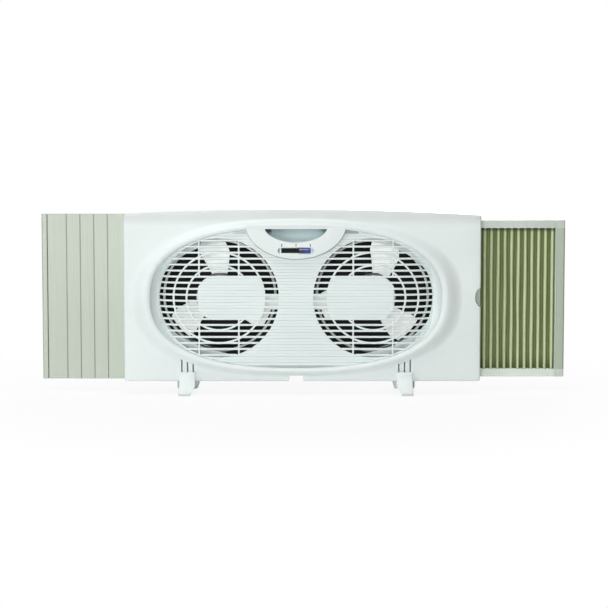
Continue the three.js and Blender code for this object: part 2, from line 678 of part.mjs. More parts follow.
function orificePlate() {
  const back = ORIFICE_PLATE_Y + WALL;
  const gap = POST_RADIUS + SLIDE_GAP;
  const sheet = box(POST_X_LEFT + gap, POST_X_RIGHT - gap, ORIFICE_PLATE_Y, back,
    OVAL_CENTRE_Z - ORIFICE_HALF_HEIGHT, OVAL_CENTRE_Z + ORIFICE_HALF_HEIGHT);
  const rods = (radius, y0, y1) => join(FAN_X.map((x) => rodY(
    x, OVAL_CENTRE_Z, radius, y0, y1, ROUND_SEGMENTS)));
  const plate = sheet.add(rods(ORIFICE_RADIUS + ORIFICE_WALL, ORIFICE_FRONT_Y, back))
    .subtract(rods(ORIFICE_RADIUS, ORIFICE_FRONT_Y - 1, back + 1));
  return node('orifice_plate', plate, WHITE);
}

function rearGrille() {
  const front = BACK_Y + REST_GAP;
  const outerRow = (grow, y) => ovalRow(REAR_A + grow, REAR_B + grow, y, ROUND_SEGMENTS);
  const frame = loft([outerRow(REAR_FRAME_WIDTH, front), outerRow(REAR_FRAME_WIDTH, REAR_BACK_Y - 4),
    outerRow(2, REAR_BACK_Y)], [0, 2])
    .subtract(loft([outerRow(-2, front - 1), outerRow(-2, REAR_BACK_Y + 1)], [0, 2]));
  const count = Math.ceil(REAR_B / SLAT_PITCH);
  const rise = SLAT_PITCH + SLAT_OVERLAP;
  const slats = Array.from({ length: 2 * count + 1 }, (_, k) => {
    const z = OVAL_CENTRE_Z + (k - count) * SLAT_PITCH;
    const y0 = SLAT_FRONT_Y;
    const y1 = REAR_BACK_Y - 2;
    return prismX([[y0, z + rise / 2], [y0, z + rise / 2 - SLAT_THICKNESS],
      [y1, z - rise / 2 - SLAT_THICKNESS], [y1, z - rise / 2]], FAN_SHIFT - REAR_A, FAN_SHIFT + REAR_A);
  });
  const tie = box(FAN_SHIFT - SLAT_THICKNESS, FAN_SHIFT + SLAT_THICKNESS, SLAT_FRONT_Y, REAR_BACK_Y - 3,
    OVAL_CENTRE_Z - REAR_B, OVAL_CENTRE_Z + REAR_B);
  const field = join([...slats, tie]).intersect(
    loft([outerRow(-1, front), outerRow(-1, REAR_BACK_Y)], [0, 2]));
  return node('rear_grille', frame.add(field), BLACK);
}

function cordGland() {
  const z = HOUSING_LIFT + GLAND_RISE;
  const profile = [
    [GLAND_BORE, BACK_Y - WALL],
    [GLAND_RADIUS - 2, BACK_Y - WALL],
    [GLAND_RADIUS - 2, BACK_Y + REST_GAP],
    [GLAND_RADIUS, BACK_Y + REST_GAP],
    [GLAND_RADIUS, BACK_Y + GLAND_LENGTH - 2],
    [GLAND_RADIUS - 1.5, BACK_Y + GLAND_LENGTH],
    [GLAND_BORE, BACK_Y + GLAND_LENGTH],
    [GLAND_BORE, BACK_Y - WALL],
  ];
  return node('cord_gland', turned(FAN_SHIFT, z, profile, MOTOR_SEGMENTS), BLACK);
}

// ---- Switch -------------------------------------------------------------------------------

function switchBody() {
  const front = PLATE_Y + WALL + REST_GAP;
  const half = SWITCH_PILL_LENGTH / 2;
  const body = box(FAN_SHIFT - half, FAN_SHIFT + half, front, front + SWITCH_BODY_DEPTH,
    SWITCH_Z - SWITCH_BODY_HEIGHT / 2, SWITCH_Z + SWITCH_BODY_HEIGHT / 2);
  const well = box(FAN_SHIFT - SWITCH_SLOT_LENGTH / 2, FAN_SHIFT + SWITCH_SLOT_LENGTH / 2,
    front - 1, front + KNOB_STEM_REACH + REST_GAP,
    SWITCH_Z - KNOB_STEM_HEIGHT / 2 - SLIDE_GAP, SWITCH_Z + KNOB_STEM_HEIGHT / 2 + SLIDE_GAP);
  return node('switch_body', body.subtract(well), BLACK);
}

function switchKnob() {
  const x1 = FAN_SHIFT + SWITCH_SLOT_LENGTH / 2 - SLIDE_GAP;
  const x0 = x1 - KNOB_LENGTH;
  const half = SWITCH_SLOT_HEIGHT / 2 - SLIDE_GAP;
  const front = PLATE_Y - KNOB_RISE;
  const back = PLATE_Y + WALL;
  const [low, high] = [SWITCH_Z - half, SWITCH_Z + half];
  const cap = prismX([[back, low], [front + KNOB_BEVEL, low], [front, low + KNOB_BEVEL],
    [front, high - KNOB_BEVEL], [front + KNOB_BEVEL, high], [back, high]], x0, x1);
  const stem = box(x0 + KNOB_STEM_INSET, x1 - KNOB_STEM_INSET, back - 1, back + KNOB_STEM_REACH,
    SWITCH_Z - KNOB_STEM_HEIGHT / 2, SWITCH_Z + KNOB_STEM_HEIGHT / 2);
  return node('switch_knob', cap.add(stem), BLUE);
}

// ---- Motors -------------------------------------------------------------------------------

function motorBracket(i) {
  const x = FAN_X[i];
  const z = OVAL_CENTRE_Z;
  const back = STATOR_FRONT_Y - BELL_DEPTH - 2 * REST_GAP;
  const front = back - BRACKET_THICKNESS;
  const disc = rodY(x, z, BRACKET_RADIUS, front, back);
  const reach = x + inward(i) * DUCT_REACH;
  const start = x + inward(i) * (BRACKET_RADIUS - 4);
  const duct = box(Math.min(start, reach), Math.max(start, reach), front, front + DUCT_DEPTH,
    z + DUCT_BOTTOM, z + DUCT_TOP);
  const seat = rodY(x, z, STATOR_RADIUS + 1, back, back + DUCT_DEPTH);
  const holes = join(boltPlaces(i).map(([bx, bz]) => rodY(
    bx, bz, BOLT_RADIUS + REST_GAP, front - 1, back + 1, SMALL_SEGMENTS)));
  return node(`motor_bracket_${SIDES[i]}`, disc.add(duct).subtract(seat).subtract(holes), WHITE);
}

const boltPlaces = (i) => BOLT_ANGLES_DEG.map((deg) => {
  const angle = THREE.MathUtils.degToRad(deg);
  return [FAN_X[i] + BOLT_CIRCLE * Math.cos(angle), OVAL_CENTRE_Z + BOLT_CIRCLE * Math.sin(angle)];
});

// Stator ring with four poles; their shoes surround the rotor.
function statorShape(i, grow, y0, y1) {
  const x = FAN_X[i];
  const z = OVAL_CENTRE_Z;
  const bore = ROTOR_RADIUS + AIR_GAP;
  const ring = tubeY(x, z, STATOR_RADIUS + grow, STATOR_RADIUS - STATOR_YOKE - grow, y0, y1, MOTOR_SEGMENTS);
  const poles = box(x - POLE_WIDTH / 2 - grow, x + POLE_WIDTH / 2 + grow, y0, y1,
    z - STATOR_RADIUS + 1, z + STATOR_RADIUS - 1)
    .add(box(x - STATOR_RADIUS + 1, x + STATOR_RADIUS - 1, y0, y1,
      z - POLE_WIDTH / 2 - grow, z + POLE_WIDTH / 2 + grow));
  const shoes = rodY(x, z, bore + POLE_SHOE_DEPTH + grow, y0, y1, MOTOR_SEGMENTS);
  return ring.add(poles).add(shoes).subtract(rodY(x, z, bore, y0 - 1, y1 + 1, MOTOR_SEGMENTS));
}

function statorCore(i) {
  const bolts = join(boltPlaces(i).map(([x, z]) => rodY(
    x, z, BOLT_RADIUS + REST_GAP, STATOR_FRONT_Y - 1, STATOR_BACK_Y + 1, SMALL_SEGMENTS)));
  const ears = join(boltPlaces(i).map(([x, z]) => rodY(
    x, z, BOLT_RADIUS + BOLT_EAR, STATOR_FRONT_Y, STATOR_BACK_Y, SMALL_SEGMENTS)));
  const core = statorShape(i, 0, STATOR_FRONT_Y, STATOR_BACK_Y).add(ears).subtract(bolts);
  return node(`stator_core_${SIDES[i]}`, core, CORE_STEEL);
}

// Copper in the four slots, joined by the end turns in front of and behind the core.
function statorWindings(i) {
  const x = FAN_X[i];
  const z = OVAL_CENTRE_Z;
  const inner = ROTOR_RADIUS + AIR_GAP + POLE_SHOE_DEPTH + 2 * REST_GAP;
  const outer = BOLT_CIRCLE - BOLT_RADIUS - BOLT_EAR - 2 * REST_GAP;
  const slots = tubeY(x, z, outer, inner, STATOR_FRONT_Y - 1, STATOR_BACK_Y + 1, MOTOR_SEGMENTS)
    .subtract(statorShape(i, REST_GAP, STATOR_FRONT_Y - 2, STATOR_BACK_Y + 2));
  const turns = [
    tubeY(x, z, outer, inner, STATOR_FRONT_Y - END_TURN_REACH, STATOR_FRONT_Y - REST_GAP, MOTOR_SEGMENTS),
    tubeY(x, z, outer, inner, STATOR_BACK_Y + REST_GAP, STATOR_BACK_Y + END_TURN_REACH, MOTOR_SEGMENTS),
  ];
  return node(`motor_windings_${SIDES[i]}`, join([slots, ...turns]), COPPER);
}

// End bell: a cup on the face of the core with a boss for its bearing.
function endBell(i, facing) {
  const x = FAN_X[i];
  const z = OVAL_CENTRE_Z;
  const rim = (facing < 0 ? STATOR_FRONT_Y : STATOR_BACK_Y) + facing * REST_GAP;
  const top = rim + facing * BELL_DEPTH;
  const boss = top - facing * BEARING_LENGTH;
  const profile = [
    [0, top],
    [BELL_RADIUS - 3, top],
    [BELL_RADIUS, top - facing * 3],
    [BELL_RADIUS, rim],
    [BELL_RADIUS - BELL_WALL, rim],
    [BELL_RADIUS - BELL_WALL, top - facing * BELL_WALL],
    [BEARING_RADIUS + BELL_WALL, top - facing * BELL_WALL],
    [BEARING_RADIUS + BELL_WALL, boss],
    [0, boss],
  ];
  const [low, high] = [Math.min(rim, top), Math.max(rim, top)];
  const seatEnd = top - facing * BELL_WALL;
  const inner = boss - facing;
  const seat = rodY(x, z, BEARING_RADIUS, Math.min(seatEnd, inner), Math.max(seatEnd, inner));
  const holes = boltPlaces(i).map(([bx, bz]) => rodY(
    bx, bz, BOLT_RADIUS + REST_GAP, low - 1, high + 1, SMALL_SEGMENTS));
  if (facing > 0) {
    holes.push(rodY(x, z, SHAFT_RADIUS + SLIDE_GAP, low - 1, high + 1, MOTOR_SEGMENTS));
  }
  const ears = join(boltPlaces(i).map(([bx, bz]) => rodY(
    bx, bz, BOLT_RADIUS + BOLT_EAR, Math.min(rim, top - facing), Math.max(rim, top - facing),
    SMALL_SEGMENTS)));
  const name = facing < 0 ? 'front' : 'rear';
  const shape = turned(x, z, profile, MOTOR_SEGMENTS).add(ears).subtract(join([seat, ...holes]));
  return node(`motor_${name}_bell_${SIDES[i]}`, shape, ZINC);
}

function bearing(i, facing) {
  const rim = (facing < 0 ? STATOR_FRONT_Y : STATOR_BACK_Y) + facing * REST_GAP;
  const top = rim + facing * (BELL_DEPTH - BELL_WALL - REST_GAP);
  const end = top - facing * (BEARING_LENGTH - BELL_WALL);
  const shape = tubeY(FAN_X[i], OVAL_CENTRE_Z, BEARING_RADIUS - REST_GAP / 2,
    SHAFT_RADIUS + RUN_GAP, Math.min(top, end), Math.max(top, end), FIT_SEGMENTS);
  return node(`${facing < 0 ? 'front' : 'rear'}_bearing_${SIDES[i]}`, shape, BRONZE);
}

function motorBolt(i, place, number) {
  const front = STATOR_FRONT_Y - BELL_DEPTH - BRACKET_THICKNESS - REST_GAP;
  const [x, z] = place;
  const bolt = rodY(x, z, BOLT_RADIUS, front, BOLT_HEAD_Y + 1, SMALL_SEGMENTS)
    .add(rodY(x, z, 2 * BOLT_RADIUS, BOLT_HEAD_Y, BOLT_HEAD_Y + BOLT_END, 6));
  return node(`motor_bolt_${number}_${SIDES[i]}`, bolt, STEEL);
}

// ---- Turning pieces -----------------------------------------------------------------------

function rotor(i) {
  const shape = tubeY(FAN_X[i], OVAL_CENTRE_Z, ROTOR_RADIUS, SHAFT_RADIUS + REST_GAP,
    STATOR_FRONT_Y + 0.5, STATOR_BACK_Y - 0.5, MOTOR_SEGMENTS);
  return node(`rotor_${SIDES[i]}`, shape, CORE_STEEL);
}

function shaft(i) {
  const front = STATOR_FRONT_Y - BELL_DEPTH + BELL_WALL + 2 * REST_GAP;
  const end = NUT_FRONT_Y + NUT_LENGTH / 2;
  return node(`motor_shaft_${SIDES[i]}`, rodY(FAN_X[i], OVAL_CENTRE_Z, SHAFT_RADIUS, front, end), STEEL);
}

// One pitched blade as a thick sheet: rows run outward, columns across the blade.
function blade(x, startDeg) {
  const rows = 5;
  const columns = 3;
  const middle = IMPELLER_FRONT_Y + IMPELLER_HUB_DEPTH / 2;
  const outline = Array.from({ length: rows + 1 }, (_, r) => {
    const share = r / rows;
    const radius = THREE.MathUtils.lerp(IMPELLER_HUB_RADIUS - 2, BLADE_TIP_RADIUS, share);
    const corner = share > 0.8 ? (share - 0.8) * 40 : 0;
    const sweep = BLADE_SWEEP_DEG * (1 - 0.12 * share) - corner;
    const first = startDeg + BLADE_LEAN_DEG * share + corner / 2;
    const across = Array.from({ length: columns + 1 }, (_, c) => {
      const turn = c / columns;
      const angle = THREE.MathUtils.degToRad(first + sweep * turn);
      const camber = 3 * Math.sin(Math.PI * turn);
      const depth = BLADE_DEPTH * (turn - 0.5) * (1 - 0.35 * share) + camber;
      return [x + radius * Math.cos(angle), middle + depth, OVAL_CENTRE_Z + radius * Math.sin(angle)];
    });
    const back = across.map(([px, py, pz]) => [px, py + BLADE_THICKNESS, pz]).reverse();
    return [...across, ...back];
  });
  return loftStrips(outline);
}

// Closed skin over matching rows whose ends need not be flat: each end is zipped shut.
function loftStrips(rows) {
  const count = rows[0].length;
  const positions = rows.flat(2);
  const index = [];
  for (let row = 0; row + 1 < rows.length; row += 1) {
    for (let i = 0; i < count; i += 1) {
      const a = row * count + i;
      const b = row * count + ((i + 1) % count);
      index.push(a, b, b + count, a, b + count, a + count);
    }
  }
  const last = (rows.length - 1) * count;
  for (let i = 0; i + 1 < count / 2; i += 1) {
    const [a, b, c, d] = [i, i + 1, count - 2 - i, count - 1 - i];
    index.push(a, c, b, a, d, c);
    index.push(last + a, last + b, last + c, last + a, last + c, last + d);
  }
  if (signedVolume(positions, index) < 0) {
    index.reverse();
  }
  const geometry = new THREE.BufferGeometry();
  geometry.setAttribute('position', new THREE.Float32BufferAttribute(positions, 3));
  geometry.setIndex(index);
  return solid(geometry);
}

const BLADE_START_DEG = [68, 44];

function impeller(i) {
  const x = FAN_X[i];
  const z = OVAL_CENTRE_Z;
  const front = IMPELLER_FRONT_Y;
  const back = front + IMPELLER_HUB_DEPTH;
  const hub = turned(x, z, [
    [SHAFT_RADIUS + REST_GAP, front],
    [IMPELLER_HUB_RADIUS - 3, front],
    [IMPELLER_HUB_RADIUS, front + 3],
    [IMPELLER_HUB_RADIUS, back - 3],
    [IMPELLER_HUB_RADIUS - 3, back],
    [SHAFT_RADIUS + REST_GAP, back],
    [SHAFT_RADIUS + REST_GAP, front],
  ], MOTOR_SEGMENTS);
  const blades = Array.from({ length: BLADE_COUNT }, (_, k) => blade(
    x, BLADE_START_DEG[i] + (360 * k) / BLADE_COUNT));
  const bore = rodY(x, z, SHAFT_RADIUS + REST_GAP, front - 1, back + 1);
  return node(`impeller_${SIDES[i]}`, join([hub, ...blades]).subtract(bore), BLADE_WHITE);
}

function spinnerNut(i) {
  const front = NUT_FRONT_Y;
  const back = front + NUT_LENGTH;
  const nut = rodY(FAN_X[i], OVAL_CENTRE_Z, NUT_RADIUS, front, back - 1, 6)
    .add(rodY(FAN_X[i], OVAL_CENTRE_Z, NUT_RADIUS * 0.7, front, back, MOTOR_SEGMENTS))
    .subtract(rodY(FAN_X[i], OVAL_CENTRE_Z, SHAFT_RADIUS + REST_GAP / 2, front - 1, back - NUT_CAP));
  return node(`impeller_nut_${SIDES[i]}`, nut, BRASS);
}

// ---- Extension panel and expander ---------------------------------------------------------

function extensionPanel() {
  const right = -REAR_HALF_WIDTH - SLIDE_GAP;
  const left = -HALF_WIDTH - PANEL_REACH + END_CAP_WIDTH + REST_GAP;
  const slab = box(left, right, PANEL_FRONT_Y, PANEL_BACK_Y, HOUSING_LIFT, PANEL_TOP);
  const tongue = box(right - 1, -REAR_HALF_WIDTH + PANEL_TONGUE, PANEL_FRONT_Y + SLIDE_GAP,
    PANEL_BACK_Y - SLIDE_GAP, TONGUE_BOTTOM, TONGUE_TOP);
  const grooves = Array.from({ length: 4 }, (_, k) => {
    const x = -HALF_WIDTH - PANEL_GROOVE_FIRST - k * PANEL_GROOVE_PITCH;
    const half = PANEL_GROOVE_WIDTH / 2;
    return [PANEL_FRONT_Y, PANEL_BACK_Y].map((y) => {
      const sink = y < 0 ? PANEL_GROOVE_SINK : -PANEL_GROOVE_SINK;
      return prismZ([[x - half, y - sink], [x - half, y], [x, y + sink], [x + half, y],
        [x + half, y - sink]], HOUSING_LIFT - 1, PANEL_TOP + 1);
    });
  });
  return node('extension_panel', slab.add(tongue).subtract(join(grooves.flat())), BEIGE);
}

function extensionEndCap() {
  const left = -HALF_WIDTH - PANEL_REACH;
  const cap = prismZ([[left, PANEL_FRONT_Y + 1], [left + 1, PANEL_FRONT_Y],
    [left + END_CAP_WIDTH, PANEL_FRONT_Y], [left + END_CAP_WIDTH, PANEL_BACK_Y],
    [left + 1, PANEL_BACK_Y], [left, PANEL_BACK_Y - 1]], HOUSING_LIFT, PANEL_TOP);
  return node('extension_end_cap', cap, BEIGE);
}

function expanderRails() {
  const end = HALF_WIDTH + EXPANDER_REACH;
  const inner = HALF_WIDTH - RAIL_INSERT;
  const railEnd = end - END_RAIL_WIDTH - REST_GAP;
  const top = box(inner, railEnd, PANEL_FRONT_Y, PANEL_BACK_Y, EXPANDER_TOP - RAIL_HEIGHT, EXPANDER_TOP);
  const bottom = box(inner, railEnd, PANEL_FRONT_Y, PANEL_BACK_Y, EXPANDER_BOTTOM,
    EXPANDER_BOTTOM + RAIL_HEIGHT);
  const endRail = prismZ([[end - END_RAIL_WIDTH, PANEL_FRONT_Y], [end - 1, PANEL_FRONT_Y],
    [end, PANEL_FRONT_Y + 1], [end, PANEL_BACK_Y - 1], [end - 1, PANEL_BACK_Y],
    [end - END_RAIL_WIDTH, PANEL_BACK_Y]], EXPANDER_BOTTOM, EXPANDER_TOP);
  return [
    node('expander_top_rail', top, RAIL_GREY),
    node('expander_bottom_rail', bottom, RAIL_GREY),
    node('expander_end_rail', endRail, RAIL_GREY),
  ];
}

function pleatedCurtain() {
  const middle = (PANEL_FRONT_Y + PANEL_BACK_Y) / 2;
  const steps = 2 * PLEAT_COUNT;
  const swing = (PLEAT_DEPTH - PLEAT_THICKNESS) / 2;
  const zigzag = (shift) => Array.from({ length: steps + 1 }, (_, k) => [
    CURTAIN_START_X + (k * PLEAT_PITCH) / 2,
    middle + (k % 2 === 0 ? swing : -swing) + shift,
  ]);
  const sheet = [...zigzag(-PLEAT_THICKNESS / 2), ...zigzag(PLEAT_THICKNESS / 2).reverse()];
  return node('pleated_curtain', prismZ(sheet, EXPANDER_BOTTOM + RAIL_HEIGHT + SLIDE_GAP,
    EXPANDER_TOP - RAIL_HEIGHT - SLIDE_GAP), OLIVE);
}

function curtainAnchor() {
  const right = CURTAIN_START_X - REST_GAP;
  const strip = box(right - ANCHOR_WIDTH + REST_GAP, right,
    PANEL_FRONT_Y + SLIDE_GAP, PANEL_BACK_Y - SLIDE_GAP,
    EXPANDER_BOTTOM + RAIL_HEIGHT + 2 * SLIDE_GAP, EXPANDER_TOP - RAIL_HEIGHT - 2 * SLIDE_GAP);
  return node('curtain_anchor', strip, RAIL_GREY);
}

// ---- Feet and screws ----------------------------------------------------------------------

// Front view of a foot: its outer side flares a little, its inner lower corner is cut off.
function footFront(side) {
  const outer = footX(side) + (side * FOOT_WIDTH) / 2;
  const inner = footX(side) - (side * FOOT_WIDTH) / 2;
  const outline = [
    [inner, FOOT_TAB_HEIGHT],
    [inner, FOOT_CUT_HEIGHT],
    [inner + side * FOOT_CUT_WIDTH, 0],
    [outer + side * (FOOT_FLARE - FOOT_ROUND), 0],
    [outer + side * FOOT_FLARE, FOOT_ROUND],
    [outer, FOOT_TAB_HEIGHT],
  ];
  return side < 0 ? outline : outline.reverse();
}

// Side view of a foot: a bar under the housing with a sloped hook at each end.
function footSide() {
  const end = FOOT_LENGTH / 2;
  const [frontHook, rearHook] = [FACE_Y - REST_GAP, BACK_Y + REST_GAP];
  const seat = HOUSING_LIFT - REST_GAP;
  const slope = FOOT_TAB_HEIGHT - FOOT_TAB_DEPTH;
  return [
    [-end, 0],
    [end, 0],
    [end, FOOT_TOE_HEIGHT],
    [rearHook + FOOT_TAB_DEPTH, slope],
    [rearHook + FOOT_TAB_DEPTH, FOOT_TAB_HEIGHT],
    [rearHook, FOOT_TAB_HEIGHT],
    [rearHook, seat],
    [frontHook, seat],
    [frontHook, FOOT_TAB_HEIGHT],
    [frontHook - FOOT_TAB_DEPTH, FOOT_TAB_HEIGHT],
    [frontHook - FOOT_TAB_DEPTH, slope],
    [-end, FOOT_TOE_HEIGHT],
  ];
}

// Saddle under the housing, wider than the bar and rounded off below.
function footWings(side) {
  const half = FOOT_WIDTH / 2 + FOOT_WING;
  const top = HOUSING_LIFT - REST_GAP;
  const r = FOOT_WING_ROUND;
  const low = FOOT_WING_BOTTOM + r;
  const outline = [
    ...arcPoints(footX(side) - half + r, low, r, r, 180, 270, 2),
    ...arcPoints(footX(side) + half - r, low, r, r, 270, 360, 2),
    [footX(side) + half, top],
    [footX(side) - half, top],
  ];
  return prismY(outline, -FOOT_WING_LENGTH / 2, FOOT_WING_LENGTH / 2);
}

function foot(side) {
  const reach = FOOT_WIDTH / 2 + FOOT_FLARE + 1;
  const bar = prismX(footSide(), footX(side) - reach, footX(side) + reach);
  const outline = prismY(footFront(side), -FOOT_LENGTH / 2 - 1, FOOT_LENGTH / 2 + 1);
  const shape = bar.intersect(outline).add(footWings(side));
  return node(`foot_${side < 0 ? 'left' : 'right'}`, shape, WHITE);
}

function housingScrew([x, z], number) {
  const head = BACK_Y - 2 * WALL + REST_GAP;
  const shank = rodY(x, z, SCREW_RADIUS, head - SCREW_LENGTH, head + 1, SMALL_SEGMENTS);
  const shape = shank.add(rodY(
    x, z, SCREW_HEAD_RADIUS, head, head + SCREW_HEAD_HEIGHT, SMALL_SEGMENTS));
  return node(`housing_screw_${number}`, shape, STEEL);
}

// ---- Assembly -----------------------------------------------------------------------------

function motorNodes(i) {
  return [
    motorBracket(i),
    statorCore(i),
    statorWindings(i),
    endBell(i, -1),
    endBell(i, 1),
    bearing(i, -1),
    bearing(i, 1),
    ...boltPlaces(i).map((place, k) => motorBolt(i, place, k + 1)),
    rotor(i),
    shaft(i),
    impeller(i),
    spinnerNut(i),
  ];
}

const part = new THREE.Group();
part.name = 'twin_window_fan';
part.add(
  frontHousing(),
  frontGrille(),
  rearHousing(),
  orificePlate(),
  rearGrille(),
  cordGland(),
  switchBody(),
  switchKnob(),
  ...motorNodes(0),
  ...motorNodes(1),
  extensionPanel(),
  extensionEndCap(),
  ...expanderRails(),
  pleatedCurtain(),
  curtainAnchor(),
  foot(-1),
  foot(1),
  ...postPlaces().map((place, k) => housingScrew(place, k + 1)),
);

export default part;
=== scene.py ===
"""Twin window fan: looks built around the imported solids, laid out as a Blender add-on."""

import json
import math

import bpy
import numpy as np
from bpy.props import FloatProperty, FloatVectorProperty, PointerProperty
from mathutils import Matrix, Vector


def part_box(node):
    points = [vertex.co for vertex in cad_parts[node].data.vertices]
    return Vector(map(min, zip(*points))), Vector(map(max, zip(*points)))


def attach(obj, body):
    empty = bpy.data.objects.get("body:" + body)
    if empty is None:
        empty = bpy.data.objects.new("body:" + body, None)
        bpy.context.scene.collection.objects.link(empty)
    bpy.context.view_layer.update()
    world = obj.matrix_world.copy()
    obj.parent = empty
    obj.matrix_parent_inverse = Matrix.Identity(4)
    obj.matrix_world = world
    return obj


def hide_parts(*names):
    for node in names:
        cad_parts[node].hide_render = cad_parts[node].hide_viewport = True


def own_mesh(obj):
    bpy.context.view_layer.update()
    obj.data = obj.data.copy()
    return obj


bl_info = {
    "name": "Twin window fan",
    "version": (1, 0, 0),
    "blender": (4, 5, 0),
    "location": "View3D > Sidebar > Window fan",
    "description": "Front housing, grille, curtain, blades, feet, finishes and studio of a twin window fan",
    "category": "Object",
}

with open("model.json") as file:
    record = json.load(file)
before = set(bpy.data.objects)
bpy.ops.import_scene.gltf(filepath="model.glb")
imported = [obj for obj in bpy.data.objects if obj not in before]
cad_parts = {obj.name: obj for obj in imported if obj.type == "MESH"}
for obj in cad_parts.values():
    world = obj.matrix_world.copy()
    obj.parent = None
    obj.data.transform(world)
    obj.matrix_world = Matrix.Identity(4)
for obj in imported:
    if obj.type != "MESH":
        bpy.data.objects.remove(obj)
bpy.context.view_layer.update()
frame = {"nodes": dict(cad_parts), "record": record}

# Fixed places and sizes in the frame, in metres: the oval's and the housing's middle, the housing's right
# edge and its lower edge over the floor, its face, the seam between the trays, wall and gap.
MIDDLE_X = -0.0119
HOUSING_X = -0.0018
HALF_WIDTH = 0.286
EDGE_X = HOUSING_X + HALF_WIDTH
CENTRE_Z = 0.156
LIFT = 0.0207
TOP_Z = 0.2972
ARCH_RADIUS = 4.8
FACE_Y = -0.038
SEAM_Y = -0.006
BACK_Y = float(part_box("rear_housing")[1][1])
REAR_STEP = 0.006
WALL = 0.0024
GAP = 0.0003
# The oval: half width and half height of the bead's foot, of its crest and of the funnel's rim.
OVAL_POWER = 2.45
BEAD = (0.265, 0.1255)
CREST = (0.2405, 0.1172)
RIM = (0.234, 0.113)
FUNNEL_INSET = 0.0135
FUNNEL_DEPTH = 0.022
# The control plate: half width and height, centre of its ellipse, how far its straight top lies lower.
PLATE = (0.081, 0.059)
PLATE_TOP = CENTRE_Z + 0.122
PLATE_DROP = 0.0045
PLATE_Y = float(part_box("switch_knob")[0][1]) + 0.0016
PLATE_BACK = PLATE_Y + 0.0135
SKIRT = 0.0013
SWITCH_Z = CENTRE_Z + 0.0766
RECESS = (0.0497, 0.0217)
RECESS_TOP = CENTRE_Z + 0.111
RECESS_TIP = math.radians(10)
# Half width and height of the notch in the lower edge; places of the fans and the feet.
NOTCH = (0.01125, 0.0093)
SIDES = ("left", "right")
FAN_X = (MIDDLE_X - 0.1235, MIDDLE_X + 0.1235)
FOOT_X = (MIDDLE_X - 0.1745, MIDDLE_X + 0.1745)
# The grille: its back, its ribs, the round openings, the closed islands, the arc and the flat that end an
# island's arm, the reach of the flat middle, and depths before and behind it for cutters.
GRILLE_Y = float(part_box("front_grille")[0][1])
GRILLE_BACK = 0.005
RIB_PITCH = 0.0097
RIB_COUNT = 22
RIB_Z = CENTRE_Z + (np.arange(RIB_COUNT) - (RIB_COUNT - 1) / 2) * RIB_PITCH
OPENING_RADIUS = 0.096
ISLAND_RADIUS = 0.0745
CAP_RADIUS = 0.0375
CAP_FLAT = 0.0331
FLAT_REACH = 0.165
THROUGH = (-0.07, 0.02)
# How far the panel's tongue ends above the panel's lower end and under its top.
TONGUE = (0.008, 0.014)
# Screws: radius of a post and of its bore.
POST_RADIUS = 0.005
BORE_RADIUS = 0.0022
# Colours of painted shade and painted shadow alone.
PAINTED_SHADE = (0.20, 0.27, 0.25)
SHADOW = (0.03, 0.06, 0.05)


# ---- Sizes and colours that a user may change --------------------------------------------

def number(name, description, default, low, high, subtype, **more):
    return FloatProperty(name=name, description=description, default=default, min=low, max=high,
                         subtype=subtype, **more)


def length(name, description, default, low=0.0, high=1.0):
    return number(name, description, default, low, high, "DISTANCE", unit="LENGTH", precision=5)


def power(name, description, default):
    return number(name, description, default, 0.0, 500.0, "POWER", unit="POWER")


def colour(name, description, default):
    return FloatVectorProperty(name=name, description=description, default=default, size=3,
                               min=0.0, max=1.0, subtype="COLOR")


class FanSizes(bpy.types.PropertyGroup):
    """Sizes of the pieces that are made here."""

    bead_rise: length("Bead rise", "How far the oval bead stands in front of the face", 0.012, 0.004, 0.012)
    bead_sweep: number("Bead sweep", "Angle that the bead's arc turns through", math.radians(130), 1.0, 3.1,
                       "ANGLE")
    bead_foot: length("Bead foot", "How far the bead's flank runs out over the face", 0.004, 0.0, 0.01)
    flank_power: number("Flank power", "How hollow the bead's outer flank is", 1.15, 1.0, 3.0, "FACTOR")
    edge_radius: length("Edge radius", "Rounding of the housing's front edge", 0.003, 0.001, 0.006)
    plate_bevel: length("Plate bevel", "Rounding of the control plate's edge", 0.0014, 0.0, 0.003)
    recess_depth: length("Recess depth", "Depth of the finger recess", 0.026, 0.01, 0.03)
    pleat_pitch: length("Pleat pitch", "Distance between two ridges of the curtain", 0.0109, 0.004, 0.03)
    pleat_sharpness: number("Pleat sharpness", "How narrow the ridges are", 1.5, 1.0, 4.0, "FACTOR")
    rib_width: length("Rib width", "Height of one rib of the front grille", 0.003, 0.001, 0.005)
    rib_groove: length("Rib groove", "Width of the fine groove beside each rib", 0.0009, 0.0002, 0.0015)
    rib_sink: length("Rib sink", "How far the closed areas lie behind the ribs", 0.0005, 0.0, 0.002)
    mark_width: length("Mark width", "Width of the three switch marks", 0.0013, 0.0002, 0.002)


class FanColours(bpy.types.PropertyGroup):
    """Colours of the finishes."""

    housing: colour("Housing", "Cool white of the front and rear trays", (0.77, 0.83, 0.815))
    grille: colour("Grille", "White of the front grille", (0.76, 0.83, 0.815))
    inner: colour("Inner plastic", "White of the rings and brackets inside", (0.70, 0.75, 0.73))
    blade: colour("Blades", "White of the impellers", (0.92, 0.96, 0.94))
    # The rear grille's black is partly its own colour and partly painted shade that keeps the fan's inside
    # dark; the cord inlet's black is its own.
    dark: colour("Dark plastic", "Black of the rear grille and the cord inlet", (0.018, 0.02, 0.021))
    knob: colour("Knob", "Blue of the switch knob", (0.02, 0.075, 0.42))
    panel: colour("Side panel", "Grey-green of the rigid panel", (0.535, 0.585, 0.50))
    rail: colour("Rails", "Pale grey-green of the rails", (0.60, 0.66, 0.60))
    curtain: colour("Curtain ridges", "Light olive of the ridges", (0.60, 0.68, 0.40))
    # The folds' colour is painted shade: the deep olive darkens the folds.
    curtain_deep: colour("Curtain folds", "Deep olive of the folds", (0.165, 0.20, 0.085))


